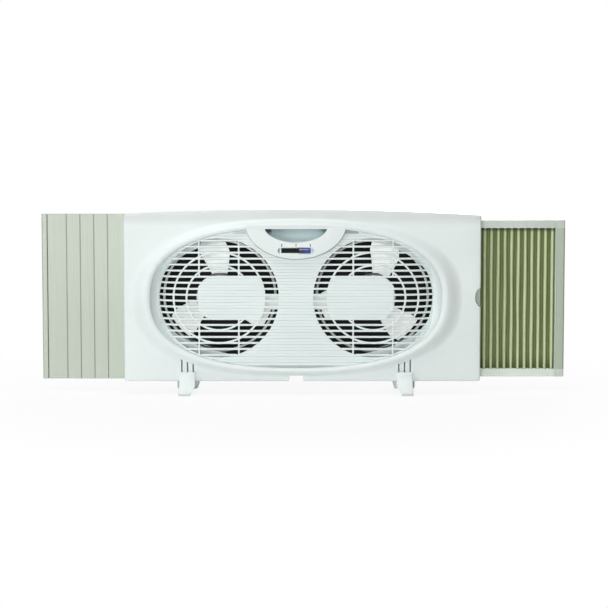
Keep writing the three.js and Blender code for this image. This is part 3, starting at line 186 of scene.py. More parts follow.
class FanStage(bpy.types.PropertyGroup):
    """Camera, lamps and floor."""

    distance: length("Camera distance", "From the lens to the front of the housing", 3.6, 0.5, 10.0)
    elevation: number("Camera elevation", "Angle above level", math.radians(6), 0.0, 1.5, "ANGLE")
    lens: number("Lens", "Focal length on a 36 mm sensor", 132.88, 10.0, 400.0, "DISTANCE_CAMERA")
    key: power("Key lamp", "Power of the large lamp above", 28.0)
    side: power("Side lamp", "Power of the strip lamp at the left", 9.0)
    front: power("Front lamp", "Power of the strip lamp at the camera", 38.0)
    back: power("Back lamp", "Power of the large lamp behind the fan", 56.0)
    sky: number("Sky", "Strength of the plain white surroundings", 0.12, 0.0, 2.0, "FACTOR")


def sizes():
    return bpy.context.scene.fan_sizes


def colours():
    return bpy.context.scene.fan_colours


# ---- Meshes from numpy grids --------------------------------------------------------------

def grid(*axes):
    """Points from one array or number for each axis, spread to a common shape."""
    return np.stack(np.broadcast_arrays(*axes), axis=-1)


def turns(count):
    """Even angles of one full turn."""
    return np.linspace(0, 2 * np.pi, count, endpoint=False)


def rounding(radius, count):
    """Pairs over a quarter turn: inset, radius (1 - cosine), and depth, radius (1 - sine)."""
    return [(radius * (1 - np.cos(turn)), radius * (1 - np.sin(turn)))
            for turn in np.linspace(0, np.pi / 2, count)]


def make_object(name, points, quads, extra_faces=()):
    """Object at the origin from an array of points, an array of quads and a few larger faces."""
    mesh = bpy.data.meshes.new(name)
    faces = quads.tolist() + [list(map(int, face)) for face in extra_faces]
    mesh.from_pydata(points.tolist(), [], faces)
    mesh.validate()
    mesh.update()
    piece = bpy.data.objects.new(name, mesh)
    bpy.context.scene.collection.objects.link(piece)
    return piece


def grid_quads(rows, columns, wrap_rows=False, wrap_columns=True):
    """Index array of the quads between neighbouring rows and columns of a grid."""
    r = np.arange(rows if wrap_rows else rows - 1)
    c = np.arange(columns if wrap_columns else columns - 1)
    r, c = np.meshgrid(r, c, indexing="ij")
    r2, c2 = (r + 1) % rows, (c + 1) % columns
    quads = np.stack([r * columns + c, r * columns + c2, r2 * columns + c2, r2 * columns + c], axis=-1)
    return quads.reshape(-1, 4)


def signed_volume(points, faces):
    """Six times the volume: sum over fan triangles of the triple product of their corners."""
    total = 0.0
    for face in faces:
        a = points[face[0]]
        b = points[np.asarray(face[1:-1])]
        c = points[np.asarray(face[2:])]
        total += np.einsum("ij,ij->", np.cross(b, c), np.broadcast_to(a, b.shape))
    return total


def shell(rows, closed=False):
    """Points and faces of a closed skin over a grid of rows: either the last row joins the first, or
    both ends get a cap. The faces are turned outward by the sign of the volume."""
    rows = np.asarray(rows, dtype=float)
    count, around = rows.shape[:2]
    points = rows.reshape(-1, 3)
    quads = grid_quads(count, around, wrap_rows=closed)
    caps = [] if closed else [np.arange(around)[::-1], np.arange(around) + (count - 1) * around]
    volume = signed_volume(points, caps) if caps else 0.0
    corners = points[quads]
    volume += np.einsum("ij,ij->", corners[:, 0], np.cross(corners[:, 1], corners[:, 2]))
    volume += np.einsum("ij,ij->", corners[:, 0], np.cross(corners[:, 2], corners[:, 3]))
    if volume < 0:
        quads = quads[:, ::-1]
        caps = [cap[::-1] for cap in caps]
    return points, quads, caps


def skin(name, rows, closed=False):
    """One object from one shell."""
    return make_object(name, *shell(rows, closed))


def pile(name, steps):
    """One object from flat outlines in x and z, each with its depth."""
    return skin(name, [at_depth(outline, y) for outline, y in steps])


def thicken(name, front, back_y):
    """One object from a sheet and a copy of it at the depths behind it."""
    back = front.copy()
    back[:, :, 1] = back_y
    return skin(name, np.concatenate([front, back[:, ::-1]], axis=1))


def skins(name, shells):
    """One object from several shells."""
    points, quads, caps, start = [], [], [], 0
    for corners, faces, ends in shells:
        points.append(corners)
        quads.append(faces + start)
        caps += [end + start for end in ends]
        start += len(corners)
    return make_object(name, np.concatenate(points), np.concatenate(quads), caps)


def prism(name, outline, axis, low, high):
    """Outline in the two other axes, in their order, carried along the axis."""
    return skin(name, [np.insert(np.asarray(outline, float), axis, at, axis=1) for at in (low, high)])


def round_edges(piece, width, degrees=30.0, segments=2):
    """Rounds every edge sharper than the angle with an arc of the width."""
    bevel = piece.modifiers.new("edges", "BEVEL")
    bevel.width = width
    bevel.segments = segments
    bevel.limit_method = "ANGLE"
    bevel.angle_limit = math.radians(degrees)
    return apply_modifiers(piece)


def smooth(piece, degrees):
    """Smooth shading with edges sharper than the angle kept sharp."""
    piece.data.shade_smooth()
    piece.data.set_sharp_from_angle(angle=math.radians(degrees))


def apply_modifiers(piece):
    bpy.context.view_layer.update()
    graph = bpy.context.evaluated_depsgraph_get()
    mesh = bpy.data.meshes.new_from_object(piece.evaluated_get(graph))
    piece.modifiers.clear()
    old = piece.data
    piece.data = mesh
    mesh.name = piece.name
    if old.users == 0:
        bpy.data.meshes.remove(old)
    return piece


def combine(base, others, operation):
    """Joins to or cuts from the base each of the others, and removes them."""
    for other in others:
        modifier = base.modifiers.new(operation.lower(), "BOOLEAN")
        modifier.operation = operation
        modifier.solver = "EXACT"
        modifier.object = other
        apply_modifiers(base)
        bpy.data.objects.remove(other)
    return base


def dress(piece, degrees, body, slot, *nodes, look=None):
    """Smooths a new piece, gives it its body and its slot's finish or the named look, and lets it stand
    for CAD nodes."""
    smooth(piece, degrees)
    piece.data.materials.clear()
    piece.data.materials.append(finish(look or slot))
    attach(piece, body)
    if nodes:
        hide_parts(*nodes)


# ---- Outlines -----------------------------------------------------------------------------

def ray_angles():
    """Angles around the oval: even ones, with close ones at the housing's four corners."""
    shift = HOUSING_X - MIDDLE_X
    corners = [math.atan2(z, x + shift) for x in (-HALF_WIDTH, HALF_WIDTH)
               for z in (arch_top(x + shift) - CENTRE_Z, LIFT - CENTRE_Z)]
    near = np.concatenate([c + np.linspace(-0.013, 0.013, 15) for c in corners])
    return np.unique(np.round(np.concatenate([turns(288), near % (2 * np.pi)]), 6))


def arch_top(x):
    """Height of the arched top: a shallow parabola that falls with the square of x from the oval's middle."""
    return TOP_Z - np.asarray(x) ** 2 / (2 * ARCH_RADIUS)


def housing_row(angles, inset, y, radius=0.003, level=0.0):
    """Housing outline met by rays from the oval's centre: a dense outline with straight sides, an
    arched top and rounded corners, looked up by angle. The lower edge is inset by the level less."""
    shift = HOUSING_X - MIDDLE_X
    low = LIFT + inset - level
    r = max(radius - inset, 0.0006)
    right, left = HALF_WIDTH - inset - r + shift, -HALF_WIDTH + inset + r + shift
    quarter = np.linspace(0, np.pi / 2, 40)

    def corner(x, z, turn):
        return grid(x + r * np.cos(quarter + turn), z + r * np.sin(quarter + turn))

    xs = np.linspace(right, left, 400)
    outline = np.concatenate([
        corner(right, arch_top(right) - inset - r, 0), grid(xs, arch_top(xs) - inset)[1:-1],
        corner(left, arch_top(left) - inset - r, np.pi / 2), corner(left, low + r, np.pi),
        grid(xs[::-1], low)[1:-1], corner(right, low + r, 1.5 * np.pi)])
    outline = np.concatenate([outline, outline[:1]])
    steps = np.linspace(0, 1, 12, endpoint=False)[None, :, None]
    dense = (outline[:-1, None] * (1 - steps) + outline[1:, None] * steps).reshape(-1, 2)
    dx, dz = dense[:, 0], dense[:, 1] - CENTRE_Z
    turn = np.arctan2(dz, dx) % (2 * np.pi)
    order = np.argsort(turn)
    reach = np.interp(angles, turn[order], np.hypot(dx, dz)[order], period=2 * np.pi)
    return place(angles, reach, y)


def rear_row(angles, inset, y, radius=0.003):
    """Outline of the rear tray: stepped in at the top and the sides, level with the front at the bottom."""
    return housing_row(angles, REAR_STEP + inset, y, radius, REAR_STEP)


def oval_row(angles, a, b, y):
    """Superellipse met by rays: radius = ((|cos|/a)^p + (|sin|/b)^p)^(-1/p)."""
    c, s = np.abs(np.cos(angles)), np.abs(np.sin(angles))
    reach = ((c / a) ** OVAL_POWER + (s / b) ** OVAL_POWER) ** (-1 / OVAL_POWER)
    return place(angles, reach, y)


def oval_half(a, share):
    """Half width of the superellipse at a share of its half height: a (1 - share^p)^(1/p)."""
    return a * (1 - share ** OVAL_POWER) ** (1 / OVAL_POWER)


def place(angles, reach, y):
    """Points at polar angles and reaches around the oval's centre, all at depth y."""
    return grid(MIDDLE_X + reach * np.cos(angles), y, CENTRE_Z + reach * np.sin(angles))


def circle(x, z, radius, count=32):
    """Outline at one distance from its centre."""
    return grid(x + radius * np.cos(turns(count)), z + radius * np.sin(turns(count)))


def rectangle(left, bottom, right, top):
    return np.array([(left, bottom), (right, bottom), (right, top), (left, top)])


def plate_outline(grow, drop=PLATE_DROP):
    """Lower half of an ellipse closed by a straight top, which lies lower than the centre by the drop."""
    a, b = PLATE[0] + grow, PLATE[1] + grow
    start = math.asin(drop / b)
    t = np.linspace(np.pi + start, 2 * np.pi - start, 96)
    top = np.linspace(1, -1, 40)[1:-1] * a * math.cos(start)
    return np.concatenate([grid(MIDDLE_X + a * np.cos(t), PLATE_TOP + b * np.sin(t)),
                           grid(MIDDLE_X + top, PLATE_TOP - drop)])


def pill(x, z, width, height, count=24):
    """Stadium outline: two half circles joined by straight sides."""
    r = height / 2
    t = np.linspace(-np.pi / 2, np.pi / 2, count)
    return np.concatenate([grid(x + width / 2 - r + r * np.cos(t), z + r * np.sin(t)),
                           grid(x - width / 2 + r - r * np.cos(t), z - r * np.sin(t))])


def at_depth(outline, y):
    """Flat outline in x and z set at depth y."""
    return grid(outline[:, 0], y, outline[:, 1])


def turned(name, x, profile, count, front=0.0):
    """Closed profile of radius and depth in millimetres, turned about the shaft at x."""
    radius, y = profile[:, :1] / 1000, profile[:, 1:] / 1000
    return skin(name, grid(x + radius * np.cos(turns(count)), front + y,
                           CENTRE_Z + radius * np.sin(turns(count))), closed=True)


def middle(node):
    """Middle of a CAD node's box across and in height."""
    low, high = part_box(node)
    return (low[0] + high[0]) / 2, (low[2] + high[2]) / 2


def rounded_box(name, low, high, radius, steps=4):
    """Box as a grid of latitudes and longitudes, pushed out to its corners, so that every edge and corner
    is an arc of the radius."""
    low, high = np.asarray(low, float), np.asarray(high, float)
    quarter = np.linspace(0, np.pi / 2, steps + 1)
    around = np.concatenate([quarter + k * np.pi / 2 for k in range(4)])
    sx = np.repeat([1, -1, -1, 1], steps + 1)
    sz = np.repeat([1, 1, -1, -1], steps + 1)
    up = np.concatenate([quarter - np.pi / 2, quarter])
    sy = np.repeat([-1, 1], steps + 1)
    centre, half = (low + high) / 2, (high - low) / 2 - radius
    ring = np.cos(up)[:, None]
    x = centre[0] + half[0] * sx[None, :] + radius * ring * np.cos(around)[None, :]
    z = centre[2] + half[2] * sz[None, :] + radius * ring * np.sin(around)[None, :]
    y = (centre[1] + half[1] * sy + radius * np.sin(up))[:, None]
    return skin(name, grid(x, y, z))


# ---- Materials ----------------------------------------------------------------------------

class Nodes:
    """Adds and links the shader nodes of a material or a world."""

    def __init__(self, owner):
        owner.use_nodes = True
        self.owner = owner
        self.tree = owner.node_tree
        self.tree.nodes.clear()

    def add(self, kind, inputs=None, **settings):
        """Node with its settings and its inputs."""
        node = self.tree.nodes.new(kind)
        for key, value in settings.items():
            setattr(node, key, value)
        return self.feed(node, inputs or {})

    def feed(self, node, inputs):
        """Gives each input of a node, by name or number, a link, a value or an rgb."""
        for key, source in inputs.items():
            socket = node.inputs[key]
            if isinstance(source, bpy.types.NodeSocket):
                self.tree.links.new(source, socket)
            else:
                socket.default_value = (*source, 1) if socket.type == "RGBA" else source
        return node

    def math(self, operation, a, b):
        """Arithmetic on two values, each a socket or a number."""
        return self.add("ShaderNodeMath", {0: a, 1: b}, operation=operation).outputs[0]

    def seen(self):
        """1 on camera, glossy and transmission rays, 0 on the rest."""
        path = self.add("ShaderNodeLightPath").outputs
        value = path["Is Camera Ray"]
        for name in ("Is Glossy Ray", "Is Transmission Ray"):
            value = self.math("MAXIMUM", value, path[name])
        return value


class Finish(Nodes):
    """Nodes of a material, from its object coordinates to its shader."""

    def __init__(self, name):
        super().__init__(bpy.data.materials.get(name) or bpy.data.materials.new(name))
        self.shader = self.add("ShaderNodeBsdfPrincipled")
        self.output = self.add("ShaderNodeOutputMaterial", {"Surface": self.shader.outputs["BSDF"]})
        self.place = self.add("ShaderNodeTexCoord").outputs["Object"]

    def noise(self, scale, detail=3.0, stretch=(1, 1, 1), rough=0.5):
        """Noise over object coordinates, stretched along the axes."""
        mapping = self.add("ShaderNodeMapping", {"Vector": self.place, "Scale": stretch})
        return self.add("ShaderNodeTexNoise", {"Vector": mapping.outputs["Vector"], "Scale": scale,
                                               "Detail": detail, "Roughness": rough}).outputs["Fac"]

    def ramp(self, value, stops):
        """Colour ramp through (position, rgb) stops."""
        ramp = self.add("ShaderNodeValToRGB", {"Fac": value})
        elements = ramp.color_ramp.elements
        while len(elements) < len(stops):
            elements.new(0.5)
        for element, (position, rgb) in zip(elements, stops):
            element.position = position
            element.color = (*rgb, 1)
        return ramp.outputs["Color"]

    def tones(self, value, rgb, dark, pale, low=0.3, high=0.7):
        """Ramp from a darker to a paler tone of one colour."""
        return self.ramp(value, [(low, shade(rgb, dark)), (high, shade(rgb, pale))])

    def remap(self, value, low, high, to_low, to_high):
        """Straight-line change of a value from one range to another, clamped."""
        return self.add("ShaderNodeMapRange", {"Value": value, "From Min": low, "From Max": high,
                                               "To Min": to_low, "To Max": to_high}).outputs["Result"]

    def mix(self, factor, a, b):
        """Mix of two colours, each a socket or an rgb."""
        return self.add("ShaderNodeMix", {"Factor": factor, 6: a, 7: b}, data_type="RGBA").outputs[2]

    def axis(self, name):
        return self.add("ShaderNodeSeparateXYZ", {0: self.place}).outputs[name]

    def inside(self, **ranges):
        """1 inside a box given as low and high along each named axis, 0 outside it, with a soft margin
        below the low end and a tenth of it above the high end."""
        total = 1.0
        for name, (low, high, soft) in ranges.items():
            value = self.axis(name)
            window = self.math("MULTIPLY", self.remap(value, low - soft, low, 0.0, 1.0),
                               self.remap(value, high, high + soft / 10, 1.0, 0.0))
            total = self.math("MULTIPLY", window, total)
        return total

    def worn(self, base, share, rgb):
        """The base colour with an rgb over worn convex edges, found by the surface's pointiness."""
        geometry = self.add("ShaderNodeNewGeometry")
        return self.mix(self.remap(geometry.outputs["Pointiness"], 0.52, 0.62, 0.0, share), base, rgb)

    def paint_light_and_shade(self, base, painted_light_and_shade):
        """The base colour with patches of painted light and shade over it: each is a colour, its strength and
        the box it fills.
        """
        for painted_colour, strength, box in painted_light_and_shade:
            base = self.mix(self.math("MULTIPLY", self.inside(**box), strength), base, painted_colour)
        return base

    def end(self, base, smudge, roughness, grain, strength, depth=0.0001, **values):
        """Feeds the shader: base colour, a roughness that a smudge moves between two values, a bump by a
        grain, and plain values for other inputs."""
        bump = self.add("ShaderNodeBump", {"Height": grain, "Strength": strength, "Distance": depth})
        self.feed(self.shader, {"Base Color": base, "Roughness": self.remap(smudge, 0.3, 0.7, *roughness),
                                "Normal": bump.outputs["Normal"],
                                **{key.replace("_", " "): value for key, value in values.items()}})


def shade(rgb, factor):
    return tuple(min(1.0, c * factor) for c in rgb)


def tint(rgb, by):
    return tuple(a * b for a, b in zip(rgb, by))


def moulded_plastic(name, rgb, roughness=0.42, grain=900.0, tone=0.03, specular=0.42, painted_light_and_shade=()):
    """Injection-moulded plastic: fine spark-eroded grain, faint flow clouds, paler rubbed edges."""
    m = Finish(name)
    base = m.tones(m.noise(9.0, 4.0, (1, 1, 1.6), 0.55), rgb, 1 - tone, 1 + tone)
    # The patches of painted light and shade that a piece is given go over the worn base.
    base = m.paint_light_and_shade(m.worn(base, 0.3, shade(rgb, 1.12)), painted_light_and_shade)
    m.end(base, m.noise(34.0), (roughness - 0.05, roughness + 0.07), m.noise(grain, 2.0, rough=0.6),
               0.12, 0.00012, Specular_IOR_Level=specular, IOR=1.5)


def glowing_thin_plastic(name, rgb):
    """Thin white mouldings with a fine grain, faint dust and pale edges. They glow with a little light of
    their own, painted light that makes them bright behind the grille."""
    m = Finish(name)
    base = m.worn(m.tones(m.noise(46.0, 4.0, (1, 1.4, 1), 0.6), rgb, 0.96, 1.03), 0.4, shade(rgb, 1.1))
    # Painted light: the blades give off light of their own.
    m.feed(m.shader, {"Emission Color": base})
    m.end(base, m.noise(30.0), (0.3, 0.42), m.noise(1100.0, 2.0, rough=0.6), 0.1,
               Specular_IOR_Level=0.45, IOR=1.5, Emission_Strength=0.34)


def streaked_plastic(name, rgb, roughness=0.5, lower=1.1, painted_light_and_shade=()):
    """Extruded plastic: fine upright draw lines and a paler tone toward the lower end, partly dust and partly
    painted light.
    """
    m = Finish(name)
    base = m.tones(m.noise(60.0, 3.0, (10, 1, 0.25), 0.6), rgb, 0.95, 1.04, 0.25, 0.75)
    # Paler toward the lower end: partly dust, partly painted light.
    base = m.mix(m.remap(m.axis("Z"), 0.034, 0.12, 1.0, 0.0), base, shade(rgb, lower))
    m.end(m.paint_light_and_shade(base, painted_light_and_shade), m.noise(20.0), (roughness - 0.05, roughness + 0.08),
               m.noise(420.0, 2.0, (6, 1, 0.3)), 0.15, Specular_IOR_Level=0.35, IOR=1.5)


def pleat_vinyl(name, ridge, deep):
    """Moulded vinyl folds, coloured by depth: a painted highlight on the ridges at the front, deep olive in
    the folds behind them as painted shade, darkest near the rails as painted shade and painted shadow under
    the top rail; with a leathery grain and soft streaks down each fold."""
    m = Finish(name)
    low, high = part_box("pleated_curtain")
    # Painted light and shade by depth: a painted highlight on the ridges, painted shade in the folds behind.
    depth = m.remap(m.axis("Y"), low[1], low[1] + 0.006, 0.0, 1.0)
    base = m.ramp(depth, [(0.0, shade(ridge, 1.1)), (0.58, ridge), (0.82, deep), (1.0, shade(deep, 0.95))])
    streak = m.noise(30.0, 3.0, (3, 1, 0.35), 0.6)
    base = m.mix(m.remap(streak, 0.3, 0.7, 0.0, 0.16), base, shade(ridge, 0.75))
    # Painted shade at the foot of the folds and painted shadow under the top rail.
    foot = m.math("POWER", m.remap(m.axis("Z"), low[2], low[2] + 0.03, 1.0, 0.0), 2.0)
    head = m.remap(m.axis("Z"), high[2] - 0.006, high[2] - 0.001, 0.0, 1.0)
    painted_fold_shade = m.math("MAXIMUM", m.math("MULTIPLY", foot, m.remap(depth, 0.3, 0.6, 0.1, 0.75)), head)
    base = m.mix(m.math("MULTIPLY", painted_fold_shade, 0.85), base, shade(deep, 0.25))
    m.end(base, m.noise(50.0), (0.5, 0.68), m.noise(700.0, 3.0), 0.2, Specular_IOR_Level=0.3, IOR=1.48)


def ring_plastic(name, pale, dark):
    """White lip of each ring at the front; behind it the plate darkens with depth, painted shade for the
    unlit inside, with faint patches.
    """
    m = Finish(name)
    # Painted shade: the plate darkens with depth behind the white lip.
    depth = m.remap(m.axis("Y"), -0.002, 0.024, 0.0, 1.0)
    base = m.ramp(depth, [(0.0, pale), (0.35, shade(pale, 0.7)), (1.0, dark)])
    base = m.mix(m.remap(m.noise(40.0, 4.0), 0.35, 0.7, 0.0, 0.2), base, shade(dark, 1.2))
    m.end(base, m.noise(34.0), (0.42, 0.56), m.noise(900.0, 2.0, rough=0.6), 0.12, 0.00012,
               Specular_IOR_Level=0.35, IOR=1.5)


def glossy_plastic(name, rgb):
    """Polished coloured plastic: painted shade at the low end of x grading to a painted highlight toward the
    high end, fine scratches.
    """
    m = Finish(name)
    low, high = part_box("switch_knob")
    # Painted shade at the low end of x, painted highlight toward the high end.
    base = m.ramp(m.remap(m.axis("X"), low[0], high[0], 0.0, 1.0),
                  [(at, shade(rgb, tone)) for at, tone in ((0.0, 0.06), (0.3, 0.2), (0.6, 0.62), (1.0, 0.9))])
    m.end(base, m.noise(300.0, 2.0, (6, 1, 1)), (0.12, 0.22), m.noise(260.0, 2.0), 0.05,
               Specular_IOR_Level=0.4, Coat_Weight=0.2, Coat_Roughness=0.08, IOR=1.5)


def worked_metal(name, rgb, roughness, stretch, scale=160.0):
    """Machined or rolled metal: lines along one axis, darker tarnish in broad patches."""
    m = Finish(name)
    lines = m.noise(scale, 4.0, stretch, 0.6)
    patches = m.remap(m.noise(22.0, 4.0), 0.45, 0.75, 0.0, 0.35)
    base = m.mix(patches, m.tones(lines, rgb, 0.82, 1.12), tint(rgb, (0.5, 0.45, 0.38)))
    m.end(base, lines, (roughness - 0.08, roughness + 0.1), lines, 0.25, 0.0002,
               Metallic=1.0, Specular_IOR_Level=0.5)


def wound_wire(name, rgb):
    """Enamelled wire: fine turns drawn by bands along the motor's axis."""
    m = Finish(name)
    band = m.add("ShaderNodeTexWave", {"Vector": m.place, "Scale": 260.0, "Distortion": 1.2},
                 wave_type="BANDS", bands_direction="Y").outputs["Fac"]
    m.end(m.tones(band, rgb, 0.45, 1.1, 0.2, 0.8), m.noise(80.0), (0.28, 0.42), band, 0.5, 0.0003,
               Metallic=0.9, Coat_Weight=0.4, Coat_Roughness=0.15)


def screen_ink(name):
    """Dark printed ink: slightly broken coverage and a soft sheen."""
    m = Finish(name)
    cover = m.noise(1500.0)
    m.end(m.ramp(cover, [(0.3, (0.01, 0.012, 0.015)), (0.7, (0.025, 0.028, 0.03))]), cover,
               (0.35, 0.5), cover, 0.1)


def across(low, high, soft):
    """Range along x about the oval's middle, with the margin of a painted patch."""
    return MIDDLE_X + low, MIDDLE_X + high, soft


def behind(y, low, high, soft):
    """Range in depth from a surface at y, with the margin of a painted patch."""
    return y + low, y + high, soft


def housing_painted_light_and_shade(rgb):
    """Painted light and shade on the front housing: painted shade on the strip above the bead; painted shadow
    on the skirt of the plate and on the inside of the bead beside the plate; painted light over the finger
    recess, with painted shade toward its top and painted shadow at its tips; painted shadow at the left end
    of the switch dish, a painted bluish highlight at its right end; painted shade in the thumb notch."""
    skirt = {"Y": behind(PLATE_Y, 0.0028, 0.02, 0.0012)}
    bead = {"Y": behind(FACE_Y, -0.007, 0.02, 0.001), "Z": (0.255, 0.2668, 0.002)}
    recess = {"X": across(-0.06, 0.06, 0.001), "Y": (PLATE_Y + 0.0022, SEAM_Y, 0.0014)}
    dish = {"Y": behind(PLATE_Y, 0.0006, 0.0026, 0.0006), "Z": (SWITCH_Z - 0.006, SWITCH_Z + 0.006, 0.001)}
    return [
        # Painted shade: the strip above the bead is darker.
        (shade(rgb, 0.82), 0.85, {"Y": behind(FACE_Y, -0.0004, 0.004, 0.0012), "Z": (0.284, 0.31, 0.012)}),
        # Painted shadow on the plate's skirt, under it and beside it.
        (PAINTED_SHADE, 0.75, {**skirt, "X": across(-0.06, 0.06, 0.03), "Z": (0.21, 0.2435, 0.002)}),
        (PAINTED_SHADE, 0.35, {**skirt, "X": across(-0.088, -0.053, 0.002), "Z": (0.236, 0.2655, 0.004)}),
        (PAINTED_SHADE, 0.7, {**skirt, "X": across(0.053, 0.088, 0.002), "Z": (0.230, 0.2655, 0.004)}),
        # Painted shadow on the bead's inside beside the plate.
        (PAINTED_SHADE, 0.7, {**bead, "X": across(0.080, 0.098, 0.006)}),
        (PAINTED_SHADE, 0.4, {**bead, "X": across(-0.098, -0.080, 0.006)}),
        # Painted light over the finger recess, then painted shade toward its top and painted shadow at its
        # tips.
        ((0.84, 0.96, 0.98), 0.9, {**recess, "Z": (0.243, 0.2672, 0.0005)}),
        ((0.13, 0.24, 0.23), 0.8, {**recess, "Z": (0.2660, 0.2672, 0.012)}),
        (SHADOW, 0.9, {**recess, "X": across(-0.06, -0.040, 0.016), "Z": (0.2630, 0.2672, 0.006)}),
        (SHADOW, 0.6, {**recess, "X": across(0.044, 0.06, 0.008), "Z": (0.2635, 0.2672, 0.004)}),
        # Painted shadow at the dish's left end, painted bluish highlight at its right end.
        ((0.12, 0.14, 0.14), 0.8, {**dish, "X": across(-0.031, -0.0262, 0.0008)}),
        ((0.45, 0.52, 0.66), 0.6, {**dish, "X": across(0.0262, 0.031, 0.0008)}),
        # Painted shade in the thumb notch.
        ((0.38, 0.47, 0.38), 0.8, {"X": (EDGE_X - 0.010, EDGE_X - 0.0004, 0.001),
                                   "Y": behind(FACE_Y, 0.002, 0.017, 0.0015),
                                   "Z": (CENTRE_Z - 0.0175, CENTRE_Z + 0.0175, 0.001)}),
    ]


def grille_painted_shade():
    """Painted shadow where the grille meets the bead: beside the control plate and along the lower edge,
    where it thins out to both sides."""
    # Painted shadow along the grille's lower edge, in steps that thin out to both sides.
    lower = [(PAINTED_SHADE, 0.22, {"X": across(-reach, reach, 0.004), "Z": (0.03, 0.0462, 0.02)})
             for reach in (0.045, 0.062, 0.076, 0.088)]
    return lower + [(PAINTED_SHADE, 0.8, {"X": across(0.080, 0.100, 0.006), "Z": (0.2602, 0.27, 0.0012)}),
                    (PAINTED_SHADE, 0.4, {"X": across(-0.098, -0.080, 0.006), "Z": (0.2605, 0.27, 0.002)})]


def panel_painted_groove_shade(rgb):
    """Painted shade in the grooves of both faces of the panel."""
    low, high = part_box("extension_panel")
    # Painted shade in the grooves, on the front and on the back face.
    groove_shade = shade(rgb, 0.32)
    return [(groove_shade, 0.65, {"Y": behind(low[1], 0.0008, 0.0016, 0.0005)}),
            (groove_shade, 0.85, {"Y": behind(high[1], -0.0016, -0.0008, 0.0005)})]


def end_rail_painted_light_and_shade(rgb):
    """Painted highlight on the lip beside the curtain, painted shade on the outer edge, and the ends where
    the other rails meet it painted back toward the rails' colour, the lower end paler.
    """
    low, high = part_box("expander_end_rail")
    top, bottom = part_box("expander_top_rail")[0][2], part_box("expander_bottom_rail")[1][2]
    # Painted highlight on the lip, painted shade on the outer edge, the ends painted back toward the rails'
    # colour.
    return [(rgb, 0.85, {"X": (low[0] - 0.001, low[0] + 0.0016, 0.0004)}),
            (shade(rgb, 0.3), 0.7, {"X": (high[0] - 0.0016, high[0] + 0.001, 0.0009),
                                    "Y": (low[1] - 0.001, low[1] + 0.0040, 0.001)}),
            (rgb, 0.8, {"Z": (top, high[2] + 0.001, 0.0005)}),
            (shade(rgb, 1.15), 0.8, {"Z": (low[2] - 0.001, bottom, 0.0005)})]


def foot_painted_shade(rgb):
    """Painted shade in grey on both wings of each foot and along the lower end of its bar."""
    # Painted shade on the wings and along the bar's lower end.
    wings = [(shade(rgb, 0.45), 0.7, {"X": (*sorted((x + side * 0.0126, x + side * 0.020)), 0.0006),
                                      "Z": (-0.001, 0.0200, 0.002)}) for x in FOOT_X for side in (-1, 1)]
    return wings + [(shade(rgb, 0.6), 0.5, {"Z": (-0.002, 0.0035, 0.005)})]


def finish_library():
    """Builds all finishes, each by the record's slot name, and three more for single pieces."""
    c = {name: tuple(getattr(colours(), name)) for name in FanColours.__annotations__}
    white, rail = c["housing"], c["rail"]
    moulded_plastic("housing_white", white, painted_light_and_shade=housing_painted_light_and_shade(white))
    moulded_plastic("grille_white", c["grille"], 0.4, painted_light_and_shade=grille_painted_shade())
    moulded_plastic("inner_white", c["inner"], 0.46)
    moulded_plastic("foot_white", white, 0.46, 700.0, painted_light_and_shade=foot_painted_shade(white))
    # On the rear grille this black is partly painted shade for the fan's dark inside.
    moulded_plastic("dark_plastic", c["dark"], 0.55, 800.0, 0.15, 0.2)
    moulded_plastic("switch_black", (0.006, 0.007, 0.008), 0.5, 900.0, 0.2, 0.12)
    ring_plastic("ring_white", c["blade"], c["dark"])
    glowing_thin_plastic("blade_white", c["blade"])
    glossy_plastic("knob_blue", c["knob"])
    streaked_plastic("panel_beige", c["panel"], lower=1.02, painted_light_and_shade=panel_painted_groove_shade(c["panel"]))
    # The rails are painted paler toward their lower end: partly dust, partly painted light.
    streaked_plastic("rail_grey", rail, 0.46, 1.3)
    # The end rail's finish is a darker copy of the rails' finish: painted shade.
    streaked_plastic("end_rail_grey", tint(rail, (0.82, 0.86, 0.74)), 0.46, 1.0, end_rail_painted_light_and_shade(rail))
    pleat_vinyl("curtain_olive", c["curtain"], c["curtain_deep"])
    worked_metal("core_steel", (0.10, 0.105, 0.11), 0.5, (1, 40, 1))
    worked_metal("bell_zinc", (0.16, 0.165, 0.17), 0.5, (1, 1, 1), 420.0)
    worked_metal("bearing_bronze", (0.42, 0.3, 0.14), 0.45, (1, 1, 1), 700.0)
    worked_metal("screw_steel", (0.55, 0.56, 0.57), 0.34, (1, 30, 1))
    worked_metal("nut_brass", (0.62, 0.45, 0.18), 0.32, (1, 30, 1))
    wound_wire("winding_copper", (0.55, 0.22, 0.09))
    screen_ink("mark_ink")


def finish(name):
    """Finish by name. The first call builds them all, over the plain ones that the solids come with."""
    if "mark_ink" not in bpy.data.materials:
        finish_library()
    return bpy.data.materials[name]


# ---- Pieces -------------------------------------------------------------------------------

def bead_rows(angles):
    """Rows over the bead. The outer flank rises as half a cosine wave of a power of the way in, so it
    runs softly out of the face and onto the crest; from the crest inward the bead is an arc."""
    s = sizes()
    rows = []
    for way in np.linspace(0, 1, 27)[:-1]:
        reach = [outer + s.bead_foot - (outer + s.bead_foot - top) * way for outer, top in zip(BEAD, CREST)]
        rise = s.bead_rise * (1 - np.cos(np.pi * way ** s.flank_power)) / 2
        rows.append(oval_row(angles, *reach, FACE_Y - rise))
    for turn in np.linspace(np.pi / 2, s.bead_sweep, 9):
        share = np.cos(turn) / np.cos(s.bead_sweep)
        reach = [outer + (inner - outer) * share for outer, inner in zip(CREST, RIM)]
        rows.append(oval_row(angles, *reach, FACE_Y - s.bead_rise * np.sin(turn)))
    return rows


